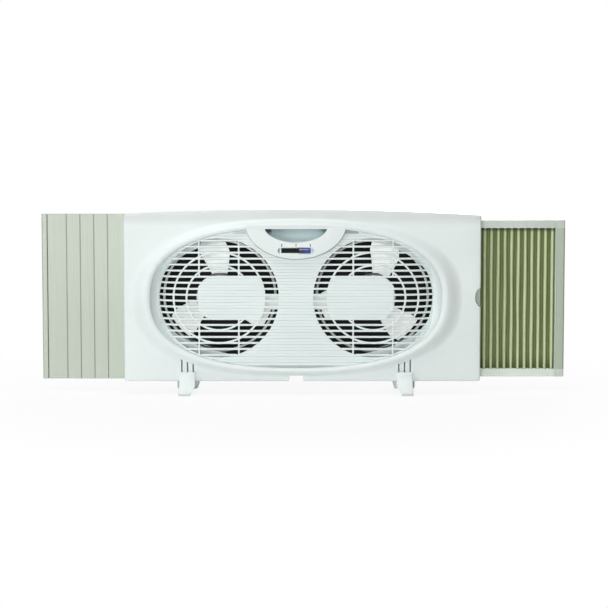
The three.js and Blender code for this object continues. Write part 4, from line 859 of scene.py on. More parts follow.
def funnel_rows(angles, sweep, extra):
    """Rows over the funnel, a quarter of an ellipse: the inset grows by one less the cosine of a turn and
    the depth by its sine. The extra insets all of them."""
    start = FACE_Y - sizes().bead_rise * math.sin(sizes().bead_sweep)
    rows = []
    for turn in sweep:
        inset = FUNNEL_INSET * (1 - np.cos(turn)) + extra
        rows.append(oval_row(angles, RIM[0] - inset, RIM[1] - inset, start + FUNNEL_DEPTH * np.sin(turn)))
    return rows


def tray_and_bead(angles):
    """Front tray, bead and funnel as one ring of rows: up the outer wall, over the rounded edge, across
    the flat face, over the bead, down the funnel and back inside."""
    rows = [housing_row(angles, 0, SEAM_Y), housing_row(angles, 0, (SEAM_Y + FACE_Y) / 2)]
    rows += [housing_row(angles, inset, FACE_Y + depth) for inset, depth in rounding(sizes().edge_radius, 7)]
    bead = bead_rows(angles)
    rows += [rows[-1] * (1 - t) + bead[0] * t for t in (0.35, 0.7, 0.95)]
    rows += bead
    rows += funnel_rows(angles, np.linspace(0, np.pi / 2, 15)[1:], 0.0)
    rows += funnel_rows(angles, np.linspace(np.pi / 2, 0.5, 9), -WALL)
    rows += [oval_row(angles, BEAD[0] - 0.010, BEAD[1] - 0.006, FACE_Y + WALL),
             housing_row(angles, WALL, FACE_Y + WALL), housing_row(angles, WALL, SEAM_Y)]
    return skin("front_tray", rows, closed=True)


def plate_block():
    """Control plate: a half-ellipse outline that ends at the bead's crest, carried forward; its front
    edge is an arc of the bevel, and its side wall widens by the skirt toward the grille."""
    steps = [(SKIRT, PLATE_BACK), (SKIRT, PLATE_Y + 0.0046), (0.0, PLATE_Y + 0.0024)]
    steps += [(-inset, PLATE_Y + depth) for inset, depth in rounding(sizes().plate_bevel, 6)]
    return pile("plate", [(plate_outline(grow), y) for grow, y in steps])


def recess_outline(scale, grow=0.0):
    """Straight top over less than half of an ellipse, so that both tips are pointed: the arc runs from
    180 degrees plus the tip angle to 360 degrees minus it."""
    a = (RECESS[0] * scale + grow) / math.cos(RECESS_TIP)
    b = (RECESS[1] * scale + grow) / (1 - math.sin(RECESS_TIP))
    top = RECESS_TOP + grow
    t = np.linspace(np.pi + RECESS_TIP, 2 * np.pi - RECESS_TIP, 96)
    curve = grid(MIDDLE_X + a * np.cos(t), top + b * (np.sin(t) + math.sin(RECESS_TIP)))
    chord = grid(MIDDLE_X + a * math.cos(RECESS_TIP) * np.linspace(1, -1, 40)[1:-1], top)
    return np.concatenate([curve, chord])


def recess_cup():
    """Block behind the finger recess: its outline with a wall's thickness around the bowl."""
    outline = recess_outline(1.0, WALL)
    return pile("cup", [(outline, PLATE_Y + 0.001), (outline, PLATE_Y + sizes().recess_depth + WALL)])


def recess_bowl():
    """Quarter of an ellipsoid: the outline shrinks with the cosine of an angle while the depth grows
    with its sine. Its mouth flares by a small arc, so the lip is round."""
    lip, reach = 0.0007, sizes().recess_depth
    steps = [(recess_outline(1.0, lip), PLATE_Y - 0.004)]
    steps += [(recess_outline(1.0, grow), PLATE_Y + depth) for depth, grow in rounding(lip, 5)]
    steps += [(recess_outline(np.cos(turn)), PLATE_Y + lip + (reach - lip) * np.sin(turn))
              for turn in np.radians([8, 16, 24, 32, 40, 48, 56, 64, 71, 77])]
    return pile("bowl", steps)


def switch_cutters():
    """Shallow pill dish with a flared rim, the slot through its floor and the pocket of the switch body."""
    steps = ((0.0596, 0.0122, -0.002), (0.0586, 0.0112, 0.0), (0.0574, 0.0100, 0.0004),
             (0.0556, 0.0082, 0.0019))
    dish = [(pill(MIDDLE_X, SWITCH_Z, width, height), PLATE_Y + y) for width, height, y in steps]
    slot = rectangle(MIDDLE_X - 0.0235, SWITCH_Z - 0.004, MIDDLE_X + 0.0235, SWITCH_Z + 0.004)
    low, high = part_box("switch_body")
    pocket = rectangle(low[0] - GAP, low[2] - GAP, high[0] + GAP, high[2] + GAP)
    return [pile("dish", dish), prism("slot", slot, 1, PLATE_Y - 0.001, PLATE_Y + 0.0045),
            prism("pocket", pocket, 1, low[1] - GAP, PLATE_BACK + 0.001)]


def thumb_outline(side, grow):
    """Half oval closed at x = side, around the middle of the right edge."""
    t = np.linspace(np.pi / 2, 1.5 * np.pi, 48)
    reach = side - HOUSING_X - HALF_WIDTH + 0.0085 + grow
    return grid(side + reach * np.cos(t), CENTRE_Z + (0.0155 + grow) * np.sin(t))


def thumb_wall():
    """Block that closes the thumb notch at the back."""
    return prism("thumb_wall", thumb_outline(EDGE_X - WALL / 2, WALL), 1, FACE_Y + WALL / 2, FACE_Y + 0.0164)


def lower_notch(front, back, grow=0.0, below=0.004):
    """Notch in the middle of the lower edge, between two depths."""
    return rounded_box("lower_notch", (MIDDLE_X - NOTCH[0] - grow, front, LIFT - below),
                       (MIDDLE_X + NOTCH[0] + grow, back, LIFT + NOTCH[1] + grow), 0.0006)


def edge_cutters():
    """Thumb notch in the right edge, notch in the lower edge and the clip slots over the feet. The
    thumb notch has a round lip and gets narrower toward its back."""
    lip = 0.0008
    steps = [(lip, -0.002), (lip, 0.0)]
    steps += [(lip * (1 - math.sin(turn)), lip * (1 - math.cos(turn))) for turn in (0.5, 1.0, 1.571)]
    steps.append((-0.0012, 0.014))
    cutters = [pile("thumb", [(thumb_outline(EDGE_X + 0.001, grow), FACE_Y + y) for grow, y in steps]),
               lower_notch(FACE_Y - 0.003, SEAM_Y + 0.002)]
    for x in [centre + step * 0.0091 for centre in FOOT_X for step in (-1, 0, 1)]:
        cutters.append(rounded_box("slot", (x - 0.001, FACE_Y - 0.002, 0.035),
                                   (x + 0.001, FACE_Y + 0.0045, 0.0585), 0.0006, 2))
    return cutters


def screw_centres():
    return [middle(f"housing_screw_{k}") for k in range(1, 5)]


def front_posts():
    """Four screw posts behind the face: up the wall of each and down its bore."""
    steps = ((POST_RADIUS, FACE_Y + 0.0012), (POST_RADIUS, SEAM_Y), (BORE_RADIUS, SEAM_Y),
             (BORE_RADIUS, FACE_Y + 0.0035))
    return [pile("post", [(circle(x, z, radius), y) for radius, y in steps]) for x, z in screw_centres()]


class FAN_OT_front_housing(bpy.types.Operator):
    """Builds the front housing with its bead, funnel, control plate and recess"""

    bl_idname = "fan.front_housing"
    bl_label = "Front housing"

    def execute(self, context):
        body = tray_and_bead(ray_angles())
        body.name = "front_housing_moulding"
        combine(body, [plate_block(), recess_cup(), thumb_wall()] + front_posts(), "UNION")
        combine(body, [recess_bowl()] + switch_cutters() + edge_cutters(), "DIFFERENCE")
        dress(body, 28, "housing", "housing_white", "front_housing")
        return {"FINISHED"}


def dome_drop(x):
    """How far the grille has dropped back at x: nothing over the flat middle, then the square of the
    distance past it."""
    past = np.maximum(0, np.abs(np.asarray(x) - MIDDLE_X) - FLAT_REACH)
    return 0.016 * (past / 0.056) ** 2


class FAN_OT_front_grille(bpy.types.Operator):
    """Builds the front grille: closed sheet, two islands, ribs, rings and uprights"""

    bl_idname = "fan.front_grille"
    bl_label = "Front grille"

    def execute(self, context):
        sheet = self.sheet("front_grille_sheet")
        island_sheet = sheet.copy()
        island_sheet.data = sheet.data.copy()
        context.scene.collection.objects.link(island_sheet)
        holes = [prism("circle", circle(x, CENTRE_Z, OPENING_RADIUS, 144), 1, *THROUGH) for x in FAN_X]
        holes.append(prism("plate", plate_outline(SKIRT + GAP, 0.0), 1, *THROUGH))
        combine(sheet, [self.rim()], "INTERSECT")
        combine(sheet, holes, "DIFFERENCE")
        islands = skins("islands", [shell([at_depth(self.island(i), y) for y in THROUGH]) for i in (0, 1)])
        combine(island_sheet, [islands], "INTERSECT")
        combine(sheet, [island_sheet], "UNION")
        dress(sheet, 30, "housing", "grille_white", "front_grille")
        bars = skins("front_grille_bars", [bar for i in (0, 1) for bar in self.bars(i)])
        dress(bars, 50, "housing", "grille_white")
        return {"FINISHED"}

    def rim(self):
        """Inner face of the funnel, less a fine gap, as the edge that the grille ends at."""
        angles = turns(256)
        inset = FUNNEL_INSET + GAP
        return skin("rim", [oval_row(angles, RIM[0] - GAP, RIM[1] - GAP, FACE_Y - 0.02),
                            *funnel_rows(angles, np.linspace(0, np.pi / 2, 12), GAP),
                            oval_row(angles, RIM[0] - inset, RIM[1] - inset, 0.0)])

    def sheet(self, name):
        """Domed sheet whose front repeats across the height: a flat rib, a fine groove on either side
        of it and a band a little behind."""
        half, groove, depth = sizes().rib_width / 2, sizes().rib_groove, sizes().rib_sink
        floor = depth + 0.0013
        side = [(half - 0.0002, 0.0), (half, 0.0002), (half + 0.0001, floor), (half + groove, floor),
                (half + groove + 0.00025, depth)]
        step = np.array([(-height, y) for height, y in side[::-1]] + side)
        z = np.concatenate([[CENTRE_Z - 0.118], (RIB_Z[:, None] + step[:, 0]).ravel(), [CENTRE_Z + 0.118]])
        sink = np.concatenate([[depth], np.tile(step[:, 1], RIB_COUNT), [depth]])
        past = np.linspace(0, 0.067, 22)
        x = MIDDLE_X + np.concatenate([-FLAT_REACH - past[::-1], [0.0], FLAT_REACH + past])
        y = GRILLE_Y + dome_drop(x)
        return thicken(name, grid(x, y + sink[:, None], z[:, None]), y + GRILLE_BACK)

    def half_height(self):
        """Half the height of a closed patch: it ends at the far sides of the fourth ribs from the middle."""
        return 3.5 * RIB_PITCH + sizes().rib_width / 2

    def island(self, i):
        """Outline of the closed patch before a motor: a disc cut flat at the outer upright, with an arm
        toward the middle that ends in an arc."""
        half = self.half_height()
        end, side = math.asin(half / ISLAND_RADIUS), math.asin(half / CAP_RADIUS)
        arc = np.linspace(-end, end, 40)
        turn = np.linspace(np.pi - side, np.pi - math.acos(CAP_FLAT / CAP_RADIUS), 12)
        u = np.concatenate([ISLAND_RADIUS * np.cos(arc), CAP_RADIUS * np.cos(turn),
                            CAP_RADIUS * np.cos(turn[::-1])])
        v = np.concatenate([ISLAND_RADIUS * np.sin(arc), CAP_RADIUS * np.sin(turn),
                            -CAP_RADIUS * np.sin(turn[::-1])])
        return grid(self.at(i, u), CENTRE_Z + v)

    def at(self, i, u):
        """Place along x of a distance from a fan's shaft toward the middle."""
        return FAN_X[i] + (1, -1)[i] * u

    def bars(self, i):
        """Ribs across the opening, split where the closed patch lies, then two rings and two uprights."""
        half = self.half_height()
        found = []
        for z in RIB_Z:
            dz = abs(z - CENTRE_Z)
            if dz < OPENING_RADIUS - 0.001:
                reach = math.sqrt(OPENING_RADIUS ** 2 - dz ** 2) + 0.001
                spans = [(-reach, reach)]
                if dz < half:
                    left = -min(CAP_FLAT, math.sqrt(max(CAP_RADIUS ** 2 - dz ** 2, 0.0)))
                    spans = [(-reach, left + 0.001), (math.sqrt(ISLAND_RADIUS ** 2 - dz ** 2) - 0.001, reach)]
                found += [self.rib(i, a, b, z) for a, b in spans]
        for radius in (0.052, 0.073):
            found.append(self.ring(i, radius, math.asin(half / radius) - 0.012))
        for u in (-0.0318, 0.0318):
            reach = math.sqrt(OPENING_RADIUS ** 2 - u ** 2) + 0.001
            found += [self.upright(i, u, side * (half - 0.001), side * reach) for side in (-1, 1)]
        return found

    def section(self, width, front):
        """Cross section of a bar, across and in depth: flat back and rounded front corners."""
        r = 0.0007
        turn = np.linspace(0, np.pi / 2, 5)
        right = grid(width / 2 - r + r * np.cos(turn), front + r - r * np.sin(turn))
        left = right[::-1] * (-1, 1)
        return np.concatenate([[(width / 2, GRILLE_BACK)], right, left, [(-width / 2, GRILLE_BACK)]])

    def rib(self, i, start, end, z):
        """The section carried along x over the dome."""
        x = self.at(i, np.linspace(start, end, 14))[:, None]
        across, depth = self.section(sizes().rib_width, 0.00005).T
        return shell(grid(x, GRILLE_Y + dome_drop(x) + depth, z + across))

    def ring(self, i, radius, open_angle):
        """The section carried around the shaft, open toward the arm."""
        turn = np.linspace(open_angle, 2 * np.pi - open_angle, 110)[:, None]
        across, depth = self.section(0.003, 0.0001).T
        reach = radius + across
        y = GRILLE_Y + dome_drop(self.at(i, radius * np.cos(turn))) + depth
        return shell(grid(self.at(i, reach * np.cos(turn)), y, CENTRE_Z + reach * np.sin(turn)))

    def upright(self, i, u, start, end):
        """The section carried upward."""
        across, depth = self.section(0.0026, 0.00015).T
        z = np.array([start, (start + end) / 2, end])[:, None] + CENTRE_Z
        x = self.at(i, u)
        return shell(grid(x + across, GRILLE_Y + dome_drop(x) + depth, z))


class FAN_OT_rear(bpy.types.Operator):
    """Builds the rear housing, the plate with the two rings and the louvred rear grille"""

    bl_idname = "fan.rear"
    bl_label = "Rear pieces"

    def execute(self, context):
        self.tray()
        self.rings()
        self.louvres()
        return {"FINISHED"}

    def tray(self):
        """Ring of rows: forward edge, side wall, rounded rear edge, flat back, oval window and back
        along the inside."""
        angles = ray_angles()
        front, back = SEAM_Y + GAP, BACK_Y
        rows = [rear_row(angles, 0, front), rear_row(angles, 0, (front + back) / 2)]
        rows += [rear_row(angles, inset, back - depth, 0.009) for inset, depth in rounding(0.003, 6)]
        window = ((0.223, 0.104, back), (0.2223, 0.1033, back - 0.0003), (0.222, 0.103, back - 0.001),
                  (0.222, 0.103, back - WALL))
        rows += [oval_row(angles, *step) for step in window]
        rows += [rear_row(angles, WALL, back - WALL, 0.011), rear_row(angles, WALL, front, 0.011)]
        body = skin("rear_housing_moulding", rows, closed=True)
        posts, holes = [], []
        for x, z in screw_centres():
            posts.append(prism("post", circle(x, z, POST_RADIUS), 1, front, back - WALL / 2))
            holes += [prism("hole", circle(x, z, BORE_RADIUS), 1, front - 0.001, back + 0.001),
                      prism("seat", circle(x, z, 0.0037), 1, back - 2 * WALL, back + 0.001)]
        posts += [self.bulkhead(front, back), lower_notch(front, back - WALL / 2, 0.001, 0.0)]
        inlet = circle(*middle("cord_gland"), 0.0048)
        holes += [lower_notch(front - 0.001, back + 0.001),
                  prism("inlet", inlet, 1, back - 2 * WALL, back + 0.001)]
        combine(body, posts, "UNION")
        combine(body, holes + [self.side_slot(-1, "extension_panel"), self.side_slot(1, "expander_end_rail")],
                "DIFFERENCE")
        dress(body, 28, "housing", "housing_white", "rear_housing")

    def bulkhead(self, front, back):
        """Upright wall behind the curtain's anchor strip."""
        low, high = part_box("curtain_anchor")
        return rounded_box("bulkhead", (low[0] - GAP - WALL, front, low[2]),
                           (low[0] - GAP, back - WALL / 2, high[2]), 0.0002, 1)

    def side_slot(self, side, node):
        """Slot in a side wall, open toward the front, that the panel's tongue or the expander slides in."""
        low, high = np.array(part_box(node))
        if side < 0:
            low[2], high[2] = low[2] + TONGUE[0], high[2] - TONGUE[1]
        wall = HOUSING_X + side * (HALF_WIDTH - REAR_STEP)
        ends = sorted([wall - side * 0.0125, wall + side * 0.001])
        return rounded_box("side_slot", (ends[0], SEAM_Y - 0.004, low[2] - 0.0004),
                           (ends[1], high[1] + 0.0004, high[2] + 0.0004), 0.0002, 1)

    def rings(self):
        """Flat sheet with two round bell-mouthed rings: each ring is a profile of radius and depth turned
        about the shaft."""
        low, high = np.array(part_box("orifice_plate"))
        sheet = rounded_box("orifice_moulding", (low[0], high[1] - WALL, low[2]), high, 0.0005, 2)
        profile = np.array([(89.5, 28.4), (89.5, 4.0), (88.4, 1.2), (88.0, -0.6), (88.6, -1.7), (90.0, -2.0),
                            (91.5, -1.6), (92.1, 0.0), (92.1, 23), (93.0, 25.2), (95.0, 26.2), (97.0, 26.6),
                            (97, 28.4)])
        bores = [prism("bore", circle(x, CENTRE_Z, profile[0][0] / 1000, 128), 1, 0.0, 0.04) for x in FAN_X]
        mouths = [turned("mouth", x, profile, 128) for x in FAN_X]
        combine(sheet, bores, "DIFFERENCE")
        combine(sheet, mouths, "UNION")
        dress(sheet, 32, "housing", "inner_white", "orifice_plate", look="ring_white")

    def louvres(self):
        """Oval frame with a sloped border, slats that slope down toward the back, and three upright ties.
        Each ends inside the frame, where the oval does."""
        front, back = BACK_Y + GAP, float(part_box("rear_grille")[1][1])
        border = ((0.228, 0.109, front), (0.228, 0.109, back - 0.004), (0.2272, 0.1082, back - 0.0025),
                  (0.2248, 0.1058, back - 0.0003), (0.2235, 0.1045, back), (0.2205, 0.1015, back),
                  (0.22, 0.101, back - 0.0006), (0.22, 0.101, front))
        shells = [shell([oval_row(turns(256), *step) for step in border], closed=True)]
        start = float(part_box("impeller_nut_left")[1][1]) + 0.0007
        depth, fall = self.slat_section(start, back - 0.002).T
        pitch, reach, rise, tie_reach, tie_rise = 0.014, 0.2215, 0.1025, 0.221, 0.1015
        for z in [CENTRE_Z + k * pitch for k in range(-7, 8)]:
            share = np.minimum(np.abs(z + fall - CENTRE_Z) / rise, 0.985)
            x = MIDDLE_X + np.linspace(-1, 1, 5)[:, None] * oval_half(reach, share)
            shells.append(shell(grid(x, depth, z + fall)))
        middle_y = (start + back - 0.003) / 2
        across, along = pill(MIDDLE_X, middle_y, 0.0032, 0.003, 6).T
        for x in (-0.15, 0.0, 0.15):
            half = oval_half(tie_rise, abs(x) / tie_reach)
            y = (along - middle_y) * 4 + (start + back) / 2
            shells.append(shell([grid(across + x, y, CENTRE_Z + side * half) for side in (-1, 1)]))
        dress(skins("rear_louvres", shells), 40, "housing", "dark_plastic", "rear_grille")

    def slat_section(self, front, back):
        """Slanted strip in y and z with rounded ends, 16 mm of fall over its depth."""
        r = 0.0008
        a, b = np.array([front + r, 0.0072]), np.array([back - r, -0.0088])
        along = (b - a) / np.linalg.norm(b - a)
        t = np.linspace(-np.pi / 2, np.pi / 2, 7)[:, None]
        end = np.cos(t) * along + np.sin(t) * np.array([-along[1], along[0]])
        return np.concatenate([b + r * end, a - r * end])


class FAN_OT_switch(bpy.types.Operator):
    """Builds the blue knob and the three marks above it"""

    bl_idname = "fan.switch"
    bl_label = "Switch knob and marks"

    def execute(self, context):
        low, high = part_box("switch_knob")
        cap = rounded_box("knob", low, (high[0], PLATE_Y + WALL, high[2]), 0.0012, 5)
        stem = rounded_box("stem", (low[0] + 0.004, PLATE_Y, SWITCH_Z - 0.0014),
                           (high[0] - 0.004, high[1], SWITCH_Z + 0.0014), 0.0003, 2)
        combine(cap, [stem], "UNION")
        cap.name = "blue_knob"
        dress(cap, 40, "switch", "knob_blue", "switch_knob")
        marks = [self.mark(x) for x in (-0.0346, -0.0118, 0.0110)]
        base = combine(marks[0], marks[1:], "UNION")
        base.name = "switch_marks"
        dress(base, 32, "housing", "housing_white", look="mark_ink")
        return {"FINISHED"}

    def mark(self, x):
        """Thin upright bar printed on the plate."""
        half, tall, z = sizes().mark_width / 2, 0.0022, SWITCH_Z + 0.0085
        return rounded_box("mark", (x - half, PLATE_Y - 0.00012, z - tall),
                           (x + half, PLATE_Y + 0.0002, z + tall), 0.0001, 2)


class FAN_OT_curtain(bpy.types.Operator):
    """Builds the pleated curtain"""

    bl_idname = "fan.curtain"
    bl_label = "Pleated curtain"

    def execute(self, context):
        low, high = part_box("pleated_curtain")
        piece = self.folds(low, high)
        dress(piece, 60, "housing", "curtain_olive", "pleated_curtain")
        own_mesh(piece)
        return {"FINISHED"}

    def folds(self, low, high):
        """Sheet whose depth is a cosine of the distance along x, raised to a power at the front so the
        ridges are narrow and the folds wide. Each ridge wanders a little with height."""
        thick, last_ridge, sway = 0.0008, 0.0045, 0.0005
        u, v = np.linspace(0, 1, 330)[:, None], np.linspace(0, 1, 60)
        x = low[0] + (high[0] - low[0]) * u
        wave = 0.5 + 0.5 * np.cos(2 * np.pi * (high[0] - last_ridge - x) / sizes().pleat_pitch)
        y = high[1] - thick - (high[1] - low[1] - thick) * wave ** sizes().pleat_sharpness
        wander = sway * np.sin(2 * np.pi * (1.1 * v + 3.7 * u)) * np.sin(np.pi * v) * np.sin(np.pi * u)
        front = grid(x + wander, y, low[2] + (high[2] - low[2]) * v)
        return thicken("pleated_curtain_sheet", front, y + thick)


class FAN_OT_side_pieces(bpy.types.Operator):
    """Builds the rigid panel with its end cap and the three rails of the expander"""

    bl_idname = "fan.side_pieces"
    bl_label = "Side panel and rails"

    def execute(self, context):
        self.panel()
        self.end_cap()
        self.rail("expander_top_rail", "top_rail", 1)
        self.rail("expander_bottom_rail", "bottom_rail", -1)
        self.end_rail()
        return {"FINISHED"}

    def panel(self):
        """Hollow-core slab: a section in x and y with V grooves on both faces, carried up."""
        low, high = np.array(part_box("extension_panel"))
        right = HOUSING_X - HALF_WIDTH + REAR_STEP - 0.0004
        centres = HOUSING_X - HALF_WIDTH - 0.0284 - 0.022 * np.arange(4)
        groove = np.array([(-0.0011, 0), (-0.0003, 0.0011), (0.0001, 0.0012), (0.0009, 0.0002), (0.0013, 0)])
        front = np.concatenate([groove + (at, low[1]) for at in centres[::-1]])
        back = np.concatenate([groove * (1, -1) + (at, high[1]) for at in centres[::-1]])[::-1]
        ease = np.array([(0, 0.0018), (0.0009, 0)])
        outline = np.concatenate([ease + (low[0], low[1]), front, [(right, low[1]), (right, high[1])], back,
                                  (ease * (1, -1) + (low[0], high[1]))[::-1]])
        slab = prism("panel", outline, 2, low[2], high[2])
        round_edges(slab, 0.0003, 50)
        tongue = rounded_box("tongue", (right - 0.001, low[1] + 0.0004, low[2] + TONGUE[0]),
                             (high[0], high[1] - 0.0004, high[2] - TONGUE[1]), 0.0006, 2)
        combine(slab, [tongue], "UNION")
        slab.name = "side_panel_slab"
        dress(slab, 40, "side_panel", "panel_beige", "extension_panel")

    def end_cap(self):
        """Strip over the slab's outer end with a rounded outer edge; it meets the slab in an open groove."""
        low, high = np.array(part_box("extension_end_cap"))
        r, ease = 0.0018, 0.0009
        outline = np.array([(high[0], low[1] + r), (high[0], high[1] - r), (high[0] - ease, high[1]),
                            (low[0] + r, high[1]), (low[0], high[1] - r), (low[0], low[1] + r),
                            (low[0] + r, low[1]), (high[0] - ease, low[1])])
        cap = round_edges(prism("end_cap", outline, 2, low[2], high[2]), 0.0003, 40)
        dress(cap, 40, "side_panel", "panel_beige", "extension_end_cap")

    def rail(self, node, name, up):
        """Channel that holds the curtain's end: a proud lip near the curtain, a slope and a flat band."""
        low, high = np.array(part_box(node))
        lip, outer = (low[2], high[2]) if up > 0 else (high[2], low[2])
        front, back = low[1], high[1]
        outline = np.array([
            (front, lip), (front, lip + up * 0.0020), (front + 0.0009, lip + up * 0.0042),
            (front + 0.0009, outer - up * 0.0010), (front + 0.0019, outer), (back - 0.001, outer),
            (back, outer - up * 0.001), (back, lip), (back - 0.0012, lip), (back - 0.0012, lip + up * 0.004),
            (front + 0.0013, lip + up * 0.004), (front + 0.0013, lip)])
        piece = round_edges(prism(name, outline, 0, low[0], high[0]), 0.0002)
        dress(piece, 40, "expander", "rail_grey", node)

    def end_rail(self):
        """Upright rail: a narrow proud lip beside the curtain, a sunk face and a turned-back outer edge."""
        low, high = np.array(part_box("expander_end_rail"))
        front, back = low[1], high[1]
        outline = np.array([
            (low[0], front), (low[0] + 0.0016, front), (low[0] + 0.0022, front + 0.0009),
            (high[0] - 0.0026, front + 0.0009), (high[0] - 0.0008, front + 0.0018), (high[0], front + 0.0036),
            (high[0], back - 0.0012), (high[0] - 0.0012, back), (low[0], back)])
        piece = round_edges(prism("end_rail", outline, 2, low[2], high[2]), 0.0002)
        # Its look is the darker copy of the rails' finish, painted shade.
        dress(piece, 40, "expander", "rail_grey", "expander_end_rail", look="end_rail_grey")


# Profile of an impeller's hub: radius and depth in millimetres. Its bore closes the ring.
HUB = np.array([(3.3, 0), (17, 0), (18.6, 0.3), (20.1, 1.2), (20.8, 2.4), (21, 4), (21, 16), (20.8, 17.6),
                (20.1, 18.8), (18.6, 19.7), (17, 20), (3.3, 20)])


class FAN_OT_impellers(bpy.types.Operator):
    """Builds both impellers with smooth blades and hubs"""

    bl_idname = "fan.impellers"
    bl_label = "Impellers"

    def execute(self, context):
        for index, side in enumerate(SIDES):
            x = FAN_X[index]
            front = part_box("impeller_" + side)[0][1]
            hub = turned("hub", x, HUB, 96, front)
            blades = [self.blade(x, front + 0.01, (68, 44)[index] + 120 * k) for k in range(3)]
            combine(hub, blades, "UNION")
            hub.name = "impeller_moulding_" + side
            dress(hub, 40, "fan_" + side, "blade_white", "impeller_" + side)
        return {"FINISHED"}

    def blade(self, x, middle, start):
        """Pitched blade: rows run outward, columns across. The turn leans with the radius, the pitch
        eases toward the tip, and an arc of a sine gives the camber; both ends of each row round off."""
        share = np.linspace(0, 1, 33)[:, None]
        turn = np.linspace(0, 1, 25)[None, :]
        root, tip, thick = 0.019, 0.086, 0.0018
        radius = root + (tip - root) * share
        corner = np.clip(share - 0.8, 0, 1) * 40
        sweep = 43 * (1 - 0.12 * share) - corner
        angle = np.radians(start + 12 * share + corner / 2 + sweep * turn)
        depth = 0.020 * (turn - 0.5) * (1 - 0.35 * share) + 0.003 * np.sin(np.pi * turn)
        front = grid(x + radius * np.cos(angle), middle + depth, CENTRE_Z + radius * np.sin(angle))
        edge = thick * np.clip(np.sin(np.pi * np.clip(turn, 0.02, 0.98)) * 4, 0.25, 1)
        return thicken("blade", front, middle + depth + edge)


class FAN_OT_feet(bpy.types.Operator):
    """Builds the two clipped-on feet"""

    bl_idname = "fan.feet"
    bl_label = "Feet"

    def execute(self, context):
        for index, side in enumerate(SIDES):
            piece = self.foot(FOOT_X[index], (-1, 1)[index])
            piece.name = "foot_moulding_" + side
            dress(piece, 34, "housing", "foot_white", "foot_" + side)
        return {"FINISHED"}

    def foot(self, x, side):
        """Side outline of the bar with its two hooks, carried across and cut by the front outline, on a
        wider saddle with rounded lower edges."""
        outline = np.array([(-62, 0), (62, 0), (62, 7), (39.3, 31), (39.3, 36), (34.3, 36), (34.3, 20.4),
                            (-38.3, 20.4), (-38.3, 36), (-43.3, 36), (-43.3, 31), (-62, 7)]) / 1000
        bar = prism("bar", outline, 0, x - 0.016, x + 0.016)
        outer, inner = x + side * 0.012, x - side * 0.012
        front = np.array([(inner, 0.038), (inner, 0.014), (inner + side * 0.008, -0.001),
                          (outer, -0.001), (outer + side * 0.0015, 0.0015), (outer, 0.038)])
        combine(bar, [prism("mould", front, 1, -0.064, 0.064)], "INTERSECT")
        round_edges(bar, 0.0010, 25, 3)
        t = np.linspace(np.pi, 2 * np.pi, 22)
        low = grid(np.sign(np.round(np.cos(t), 3)) * 0.0128 + 0.004 * np.cos(t), 0.0115 + 0.004 * np.sin(t))
        saddle = np.concatenate([low, [(0.0168, 0.0204), (-0.0168, 0.0204)]]) + (x, 0)
        wings = round_edges(prism("saddle", saddle, 1, -0.031, 0.031), 0.0006, 50)
        return combine(bar, [wings], "UNION")


class FAN_OT_finishes(bpy.types.Operator):
    """Gives every CAD node that stays its finish"""

    bl_idname = "fan.finishes"
    bl_label = "Finishes of the solids"

    def execute(self, context):
        slots = {part["node"]: part["material_slot"] for part in frame["record"]["subparts"]}
        for name, node in frame["nodes"].items():
            node.data.materials.clear()
            node.data.materials.append(finish(slots[name]))
        return {"FINISHED"}


# ---- Stage --------------------------------------------------------------------------------

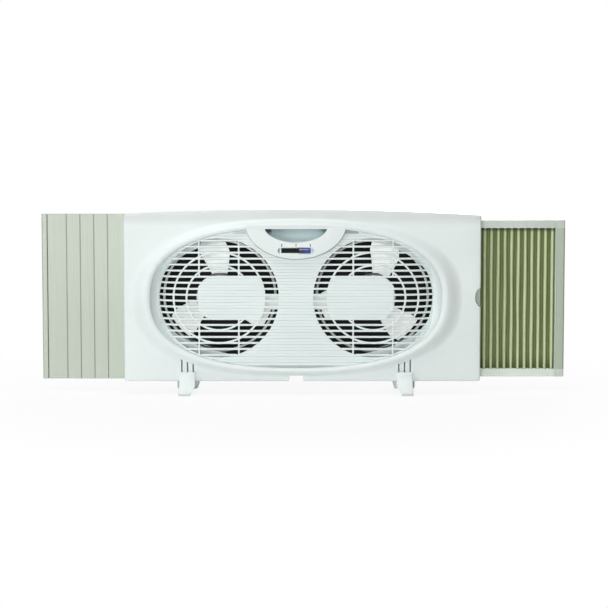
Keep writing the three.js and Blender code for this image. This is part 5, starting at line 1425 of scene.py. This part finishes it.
class FAN_OT_stage(bpy.types.Operator):
    """Sets the floor, the white surroundings, the lamps and the camera"""

    bl_idname = "fan.stage"
    bl_label = "Studio"

    def execute(self, context):
        self.floor()
        self.surroundings(context.scene)
        stage = context.scene.fan_stage
        aim = Vector((MIDDLE_X, FACE_Y, 0.15))
        places = (("front", (-0.3, -3.45, 0.54), (1.0, 0.14)), ("key", (-0.3, -0.5, 2.2), (1.5, 1.5)),
                  ("side", (-1.7, -1.5, 0.31), (0.5, 0.12)), ("back", (0.7, 2.8, 1.3), (1.5, 1.5)))
        for name, at, size in places:
            lamp = bpy.data.lights.new(name, "AREA")
            lamp.shape = "RECTANGLE"
            lamp.size, lamp.size_y = size
            lamp.energy = getattr(stage, name)
            self.seat(name, lamp, Vector(at), aim)
        self.camera(context.scene, stage)
        context.scene.view_settings.view_transform = "Standard"
        return {"FINISHED"}

    def floor(self):
        """Flat grid of two parameters far wider than the object. The camera sees it nearly white: it keeps
        a share of the object's shadow, which fades out with the distance from the object."""
        u, v = np.meshgrid(np.linspace(-6, 6, 9), np.linspace(-4, 8, 9), indexing="ij")
        points = grid(u, v, 0.0).reshape(-1, 3)
        piece = make_object("floor", points, grid_quads(9, 9, wrap_columns=False)[:, ::-1])
        m = Finish("floor_paper")
        m.feed(m.shader, {"Base Color": m.ramp(m.noise(3.0), [(0.3, (0.86, 0.87, 0.87)), (0.7, (0.88,) * 3)]),
                          "Roughness": 0.9, "Specular IOR Level": 0.1})
        reach = m.add("ShaderNodeVectorMath", {0: m.place}, operation="LENGTH").outputs["Value"]
        clear = m.math("MULTIPLY", m.seen(), m.remap(reach, 0.3, 0.7, 0.88, 1.0))
        glow = m.add("ShaderNodeEmission").outputs["Emission"]
        mix = m.add("ShaderNodeMixShader", {0: clear, 1: m.shader.outputs["BSDF"], 2: glow})
        m.feed(m.output, {"Surface": mix.outputs["Shader"]})
        piece.data.materials.append(m.owner)

    def surroundings(self, scene):
        """Plain soft sky for diffuse light, white for what the camera, gloss and glass see."""
        scene.world = bpy.data.worlds.new("plain_white")
        m = Nodes(scene.world)
        soft, white = [m.add("ShaderNodeBackground", {"Color": tone, "Strength": strength}).outputs[0]
                       for tone, strength in (((0.96, 0.98, 1.0), scene.fan_stage.sky), ((1, 1, 1), 1.0))]
        mix = m.add("ShaderNodeMixShader", {0: m.seen(), 1: soft, 2: white})
        m.add("ShaderNodeOutputWorld", {"Surface": mix.outputs[0]})

    def seat(self, name, data, at, aim):
        """Object that stands at a point and looks at another."""
        seat = bpy.data.objects.new(name, data)
        seat.location = at
        seat.rotation_euler = (aim - at).to_track_quat("-Z", "Y").to_euler()
        bpy.context.scene.collection.objects.link(seat)
        return seat

    def camera(self, scene, stage):
        """Camera raised by the elevation over a level line, aimed at the picture's middle."""
        aim = Vector((0.0009, FACE_Y, 0.1459))
        camera = bpy.data.cameras.new("camera")
        camera.lens = stage.lens
        camera.clip_end = 50
        up = stage.elevation
        at = aim + stage.distance * Vector((0, -math.cos(up), math.sin(up)))
        scene.camera = self.seat("camera", camera, at, aim)


class FAN_PT_panel(bpy.types.Panel):
    """Lists the sizes, colours and steps of the window fan"""

    bl_idname = "FAN_PT_panel"
    bl_label = "Twin window fan"
    bl_space_type = "VIEW_3D"
    bl_region_type = "UI"
    bl_category = "Window fan"

    def draw(self, context):
        for group in (context.scene.fan_sizes, context.scene.fan_colours, context.scene.fan_stage):
            box = self.layout.box()
            for name in group.__annotations__:
                box.prop(group, name)
        for operator in STEPS:
            self.layout.operator(operator.bl_idname)


STEPS = (FAN_OT_finishes, FAN_OT_front_housing, FAN_OT_front_grille, FAN_OT_rear, FAN_OT_switch,
         FAN_OT_side_pieces, FAN_OT_curtain, FAN_OT_impellers, FAN_OT_feet, FAN_OT_stage)
CLASSES = (FanSizes, FanColours, FanStage, *STEPS, FAN_PT_panel)


def register():
    for cls in CLASSES:
        bpy.utils.register_class(cls)
    bpy.types.Scene.fan_sizes = PointerProperty(type=FanSizes)
    bpy.types.Scene.fan_colours = PointerProperty(type=FanColours)
    bpy.types.Scene.fan_stage = PointerProperty(type=FanStage)


def unregister():
    del bpy.types.Scene.fan_stage
    del bpy.types.Scene.fan_colours
    del bpy.types.Scene.fan_sizes
    for cls in reversed(CLASSES):
        bpy.utils.unregister_class(cls)


def main():
    register()
    for operator in STEPS:
        group, name = operator.bl_idname.split(".")
        getattr(getattr(bpy.ops, group), name)()


if __name__ == "__main__":
    main()
